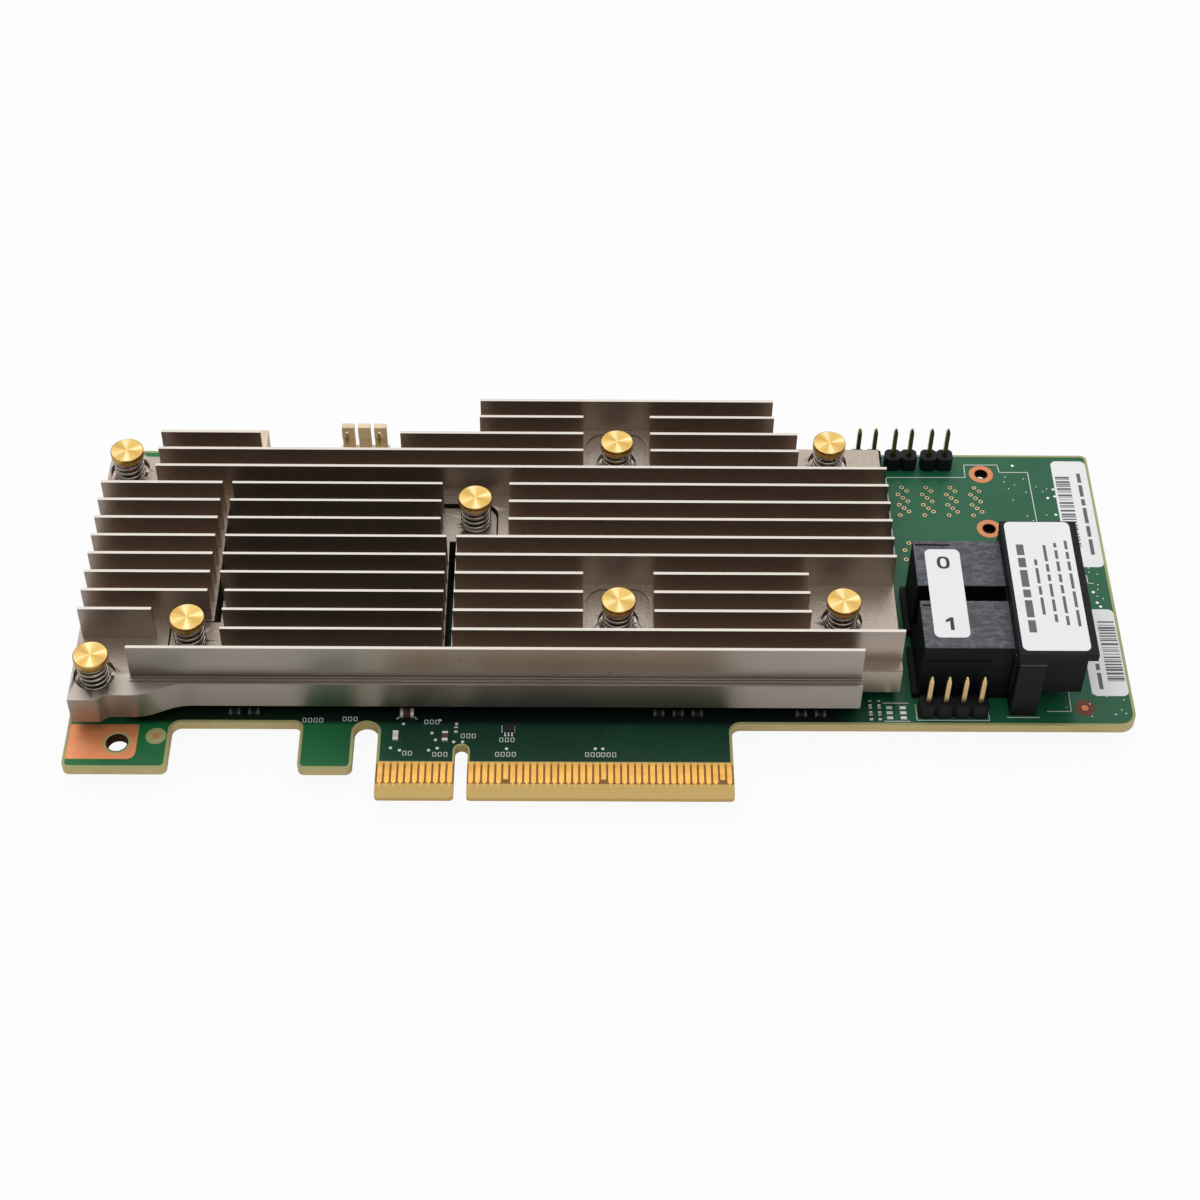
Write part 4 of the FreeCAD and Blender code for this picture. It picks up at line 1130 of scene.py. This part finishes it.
# %% Printed lines
INK_WIDTH = 0.14
INK_FOOT = MASK_TOP - 0.005
INK_TOP = MASK_TOP + 0.012
FRAME_PITCH = 0.80
FRAME_WIDTH = 0.46
FRAME_HEIGHT = 0.72
FRAME_STROKE = 0.11
printed = [
    [(65.92, 63.71), (78.48, 63.80), (78.55, 66.61), (83.89, 66.65), (84.09, 64.98), (88.62, 65.01),
     (88.77, 54.21)],
    [(65.80, 63.60), (65.80, 45.20)],
    [(85.54, 15.85), (89.08, 15.87), (89.20, 19.76)],
    [(79.50, 14.70), (84.30, 14.70)],
    [(66.30, 17.10), (66.30, 14.10), (76.90, 14.10), (76.90, 17.10)],
    [(61.50, 17.30), (65.30, 17.30)],
    [(61.50, 13.90), (65.30, 13.90)],
    [(95.03, 42.60), (95.03, 41.26), (95.90, 41.10)],
    [(5.76, 12.81), (5.80, 11.47)],
    [(7.59, 12.75), (7.62, 11.42)],
    [(-9.60, 13.90), (-9.33, 14.12), (-9.33, 14.35)],
    [(-6.62, 13.90), (-6.88, 14.12), (-6.88, 14.35)],
]
frame_rows = [(-23.2, 13.3, 4), (4.95, 7.15, 4), (5.5, 9.8, 3), (17.9, 7.15, 3), (20.2, 7.15, 3),
              (-4.1, 7.1, 3), (-0.1, 10.5, 3), (-8.4, 7.3, 2), (-5.5, 13.05, 3), (-17.4, 13.55, 3)]


def printed_line(corners, width):
    """A bar of ink along each step from one corner to the next."""
    grids = []
    for start, end in zip(corners, corners[1:]):
        grids += bar(start, end, width, INK_FOOT, INK_TOP)
    return grids


lines = []
for corners in printed:
    lines += printed_line(corners, INK_WIDTH)
for x, y, count in frame_rows:
    for step in range(count):
        left = x + step * FRAME_PITCH
        right = left + FRAME_WIDTH
        top = y + FRAME_HEIGHT
        corners = [(left, y), (right, y), (right, top), (left, top), (left, y)]
        lines += printed_line(corners, FRAME_STROKE)
grid_piece("printed_lines", lines, WHITE_INK)

# %% [markdown]
# The labels are cut with rounded corners. Their print is rows of plain dashes and stripes, about
# a hundredth of a millimetre thick, and the two ports carry the numbers 0 and 1.

# %% Labels
LABEL_ROUND = 0.9
PRINT = 0.012
PRINT_SUNK = 0.002
DASH_LENGTHS = (1.2, 3.4)
DASH_GAP = 0.55
SHORTEST_DASH = 0.4
MOST_DASHES = 40
STRIPE_STEP = 0.14
MOST_STRIPES = 200


def label_sheet(node):
    """Rounded sheet in place of a label node; returns its corners and the level of its print."""
    low, high = node_box(node)
    corners = [(low[0], low[1], LABEL_ROUND), (high[0], low[1], LABEL_ROUND),
               (high[0], high[1], LABEL_ROUND), (low[0], high[1], LABEL_ROUND)]
    level = high[2] - PRINT
    sheet_piece(node + "_sheet", [rounded_outline(corners)], low[2], level,
                PAPER, [node])
    return low, high, level


def dashes(x, near, far, width, level, seed):
    """Row of bars along y: each starts one gap after the last, and its length is drawn at random
    between two limits. The row ends at far, where too short a rest is left out."""
    lengths = np.random.default_rng(seed).uniform(*DASH_LENGTHS, MOST_DASHES)
    starts = near + np.cumsum(lengths + DASH_GAP) - lengths - DASH_GAP
    grids = []
    for start, length in zip(starts, lengths):
        end = min(start + length, far)
        if end - start > SHORTEST_DASH:
            grids += bar((x, start), (x, end), width, level - PRINT_SUNK, level + PRINT)
    return grids


def stripes(left, right, near, far, level, seed):
    """Bars across x whose widths and spaces are one to three steps, drawn at random."""
    widths = STRIPE_STEP * np.random.default_rng(seed).integers(1, 4, MOST_STRIPES)
    edges = near + np.cumsum(widths)
    edges = edges[edges < far]
    grids = []
    for low, high in zip(edges[0::2], edges[1::2]):
        middle = (low + high) / 2
        grids += bar((left, middle), (right, middle), high - low,
                     level - PRINT_SUNK, level + PRINT)
    return grids


low, high, level = label_sheet("hood_label")
print_bars = dashes(low[0] + 1.85, low[1] + 3.4, high[1] - 4.4, 1.10, level, 1)
for column, (start, end) in enumerate([(6.8, 7.6), (5.4, 4.7), (4.8, 4.3), (4.6, 3.8)]):
    x = low[0] + 3.85 + 1.62 * column
    print_bars += dashes(x, low[1] + start, high[1] - end, 0.45, level, column + 10)
low, high, level = label_sheet("board_label_far")
print_bars += stripes(low[0] + 0.35, low[0] + 2.60, low[1] + 3.7, high[1] - 3.1, level, 3)
print_bars += dashes(low[0] + 4.15, low[1] + 2.6, high[1] - 2.4, 0.60, level, 4)
low, high, level = label_sheet("board_label_near")
print_bars += stripes(high[0] - 2.75, high[0] - 0.20, low[1] + 2.4, high[1] - 2.4, level, 8)
print_bars += dashes(low[0] + 1.55, low[1] + 1.3, low[1] + 6.2, 0.60, level, 9)
grid_piece("label_bars", print_bars, GREY_INK)

# %% [markdown]
# The two numbers are drawn as closed lines: a nought is one oval inside another, and a one is a
# stem with a flag. Both become thin sheets of ink.

# %% Port numbers
NOUGHT_HALF = np.array([0.95, 1.22])
STROKE = 0.50


def oval(centre, half, power=2.6, steps=40):
    """Each coordinate is half the width times the cosine or sine of the angle, to a power."""
    angle = np.linspace(0, 2 * np.pi, steps, endpoint=False)
    wave = np.stack([np.cos(angle), np.sin(angle)], axis=1)
    return centre + half * np.sign(wave) * np.abs(wave) ** (2 / power)


def number_lines(port, centre):
    """Closed lines of the number of a port."""
    if port == 0:
        return [oval(centre, NOUGHT_HALF), oval(centre, NOUGHT_HALF - (STROKE, STROKE * 0.75))]
    one = np.array([(-0.15, -1.22), (0.40, -1.22), (0.40, 1.22), (-0.02, 1.22), (-0.75, 0.72),
                    (-0.75, 0.22), (-0.15, 0.55)])
    return [centre + one]


low, high, level = label_sheet("port_label")
for port in range(2):
    module_low, module_high = node_box("contact_module_%d" % port)
    centre = np.array([(low[0] + high[0]) / 2, (module_low[1] + module_high[1]) / 2])
    sheet_piece("port_number_%d" % port, number_lines(port, centre),
                level - PRINT_SUNK, level + PRINT, BLACK_INK)

# %% [markdown]
# While the gold is plated, a thin strip feeds current to each long contact. Cutting the board
# out leaves a short tail of that strip below the contact.

# %% Tails of the contacts
CONTACT_LOW = 2.10
TAIL_WIDTH = 0.13
TAIL_LENGTH = 0.42
TAIL_OVERLAP = 0.1
for side in ("component_side", "solder_side"):
    strips = []
    for low, high in solid_boxes("edge_contacts_" + side):
        if low[1] < CONTACT_LOW + TAIL_OVERLAP:
            middle = (low[0] + high[0]) / 2
            strips += bar((middle, low[1] - TAIL_LENGTH), (middle, low[1] + TAIL_OVERLAP),
                          TAIL_WIDTH, low[2], high[2])
    grid_piece("contact_tails_" + side, strips, GOLD)

# %% [markdown]
# The camera stands where a fit to the photograph puts it: the contacts, the headers and the
# board's corners fix its place, its direction and its lens.

# %% Camera
IMAGE = 1200
FOCAL_PIXELS = 2400.05
SENSOR = 36.0
camera_place = np.array([-4.234, -239.587, 277.161]) * MM
forward = np.array([0.00996, 0.66374, -0.74789])
right = np.array([0.99994, -0.003185, 0.010495])
forward /= np.linalg.norm(forward)
right -= forward * right.dot(forward)
right /= np.linalg.norm(right)
upward = np.cross(right, forward)
lens = bpy.data.cameras.new("camera")
lens.sensor_width = SENSOR
lens.lens = FOCAL_PIXELS / IMAGE * SENSOR
camera = bpy.data.objects.new("camera", lens)
bpy.context.scene.collection.objects.link(camera)
placed = np.eye(4)
placed[:3, 0] = right
placed[:3, 1] = upward
placed[:3, 2] = -forward
placed[:3, 3] = camera_place
camera.matrix_world = Matrix(placed.tolist())
lens.clip_start = 0.01
lens.clip_end = 20.0
bpy.context.scene.camera = camera
print("lens", round(lens.lens, 1), "mm")

# %% [markdown]
# A product photo has a floor that burns out to white, while the card above it still gets light
# from below. So the camera sees the floor glowing, and for lamps it is a pale matt sheet. Mirror
# images of the floor glow too, but only away from the card, because next to it the floor lies in
# the card's own shade. A small patch under the near plated hole stays matt for the camera.

# %% Floor
GLOW_SHARE = 0.93
FLOOR_SIZE = 4.0
COVERED = to_scene((81.1, 56.0, 0.0))
COVERED_HALF = (4.0, 5.0)
SHADED_MARGIN = 60.0
floor_mesh = bpy.data.meshes.new("floor")
half = FLOOR_SIZE / 2
floor_mesh.from_pydata([(-half, -half, 0), (half, -half, 0), (half, half, 0), (-half, half, 0)],
                       [], [(0, 1, 2, 3)])
floor = bpy.data.objects.new("floor", floor_mesh)
bpy.context.scene.collection.objects.link(floor)
f = Finish("studio_floor")
paths = [f.node("ShaderNodeLightPath", output=name)
         for name in ("Is Camera Ray", "Is Glossy Ray", "Is Transmission Ray")]
covered = ((f.split(0) - float(COVERED[0])).size() < COVERED_HALF[0] * MM) * (
    (f.split(1) - float(COVERED[1])).size() < COVERED_HALF[1] * MM)
beyond = f.larger(f.split(0).size() - float(board_high.x), f.split(1).size() - float(board_high.y))
mirrored = f.larger(paths[1], paths[2]) * beyond.ramp(0.0, SHADED_MARGIN * MM)
seen = f.larger(paths[0] * (1.0 - covered), mirrored)
cloud = f.noise((0.004, 0.004, 0.004))
matt = f.node("ShaderNodeBsdfDiffuse", Color=f.mix(cloud, (0.86, 0.86, 0.86), (0.88, 0.88, 0.88)))
glow = f.node("ShaderNodeEmission", Color=(1.0, 1.0, 1.0, 1.0), Strength=1.0)
floor_mesh.materials.append(
    f.end(f.node("ShaderNodeMixShader", _0=seen * GLOW_SHARE, _1=matt, _2=glow)))
print("floor", FLOOR_SIZE, "m wide")

# %% [markdown]
# Three soft boxes light the card: a large one behind it, which gives the tips of the fins their
# bright lines, one above and a weak one in front. The white surroundings are seen at full
# strength by the camera but light the card only a little.

# %% World and lamps
AMBIENT = 0.32
world = bpy.data.worlds.new("studio")
bpy.context.scene.world = world
world.use_nodes = True
tree = world.node_tree
tree.nodes.clear()
paths = [Wave(tree, tree.nodes.new("ShaderNodeLightPath").outputs[name])
         for name in ("Is Camera Ray", "Is Transmission Ray")]
seen = paths[0].math("MAXIMUM", *paths)
both = tree.nodes.new("ShaderNodeMixShader")
tree.links.new(seen.socket, both.inputs[0])
for place, strength in zip(both.inputs[1:], (AMBIENT, 1.0)):
    backdrop = tree.nodes.new("ShaderNodeBackground")
    backdrop.inputs["Color"].default_value = (1.0, 1.0, 1.0, 1.0)
    backdrop.inputs["Strength"].default_value = strength
    tree.links.new(backdrop.outputs[0], place)
tree.links.new(both.outputs[0], tree.nodes.new("ShaderNodeOutputWorld").inputs[0])


def softbox(name, place, size, brightness):
    """Rectangular lamp that faces the card; a brightness of 1 looks white."""
    lamp = bpy.data.lights.new(name, "AREA")
    lamp.shape = "RECTANGLE"
    lamp.size, lamp.size_y = size
    lamp.energy = brightness * math.pi * size[0] * size[1]
    holder = bpy.data.objects.new(name, lamp)
    bpy.context.scene.collection.objects.link(holder)
    holder.location = place
    holder.rotation_mode = "QUATERNION"
    holder.rotation_quaternion = (-Vector(place)).to_track_quat("-Z", "Y")
    print(name, "gives", round(lamp.energy, 2), "W")


softbox("back_box", (0.0, 0.52, 0.70), (1.5, 0.80), 1.35)
softbox("top_box", (-0.10, -0.12, 0.95), (1.2, 0.7), 1.15)
softbox("front_fill", (0.25, -0.80, 0.35), (0.6, 0.4), 0.5)

bpy.context.scene.view_settings.view_transform = "Standard"
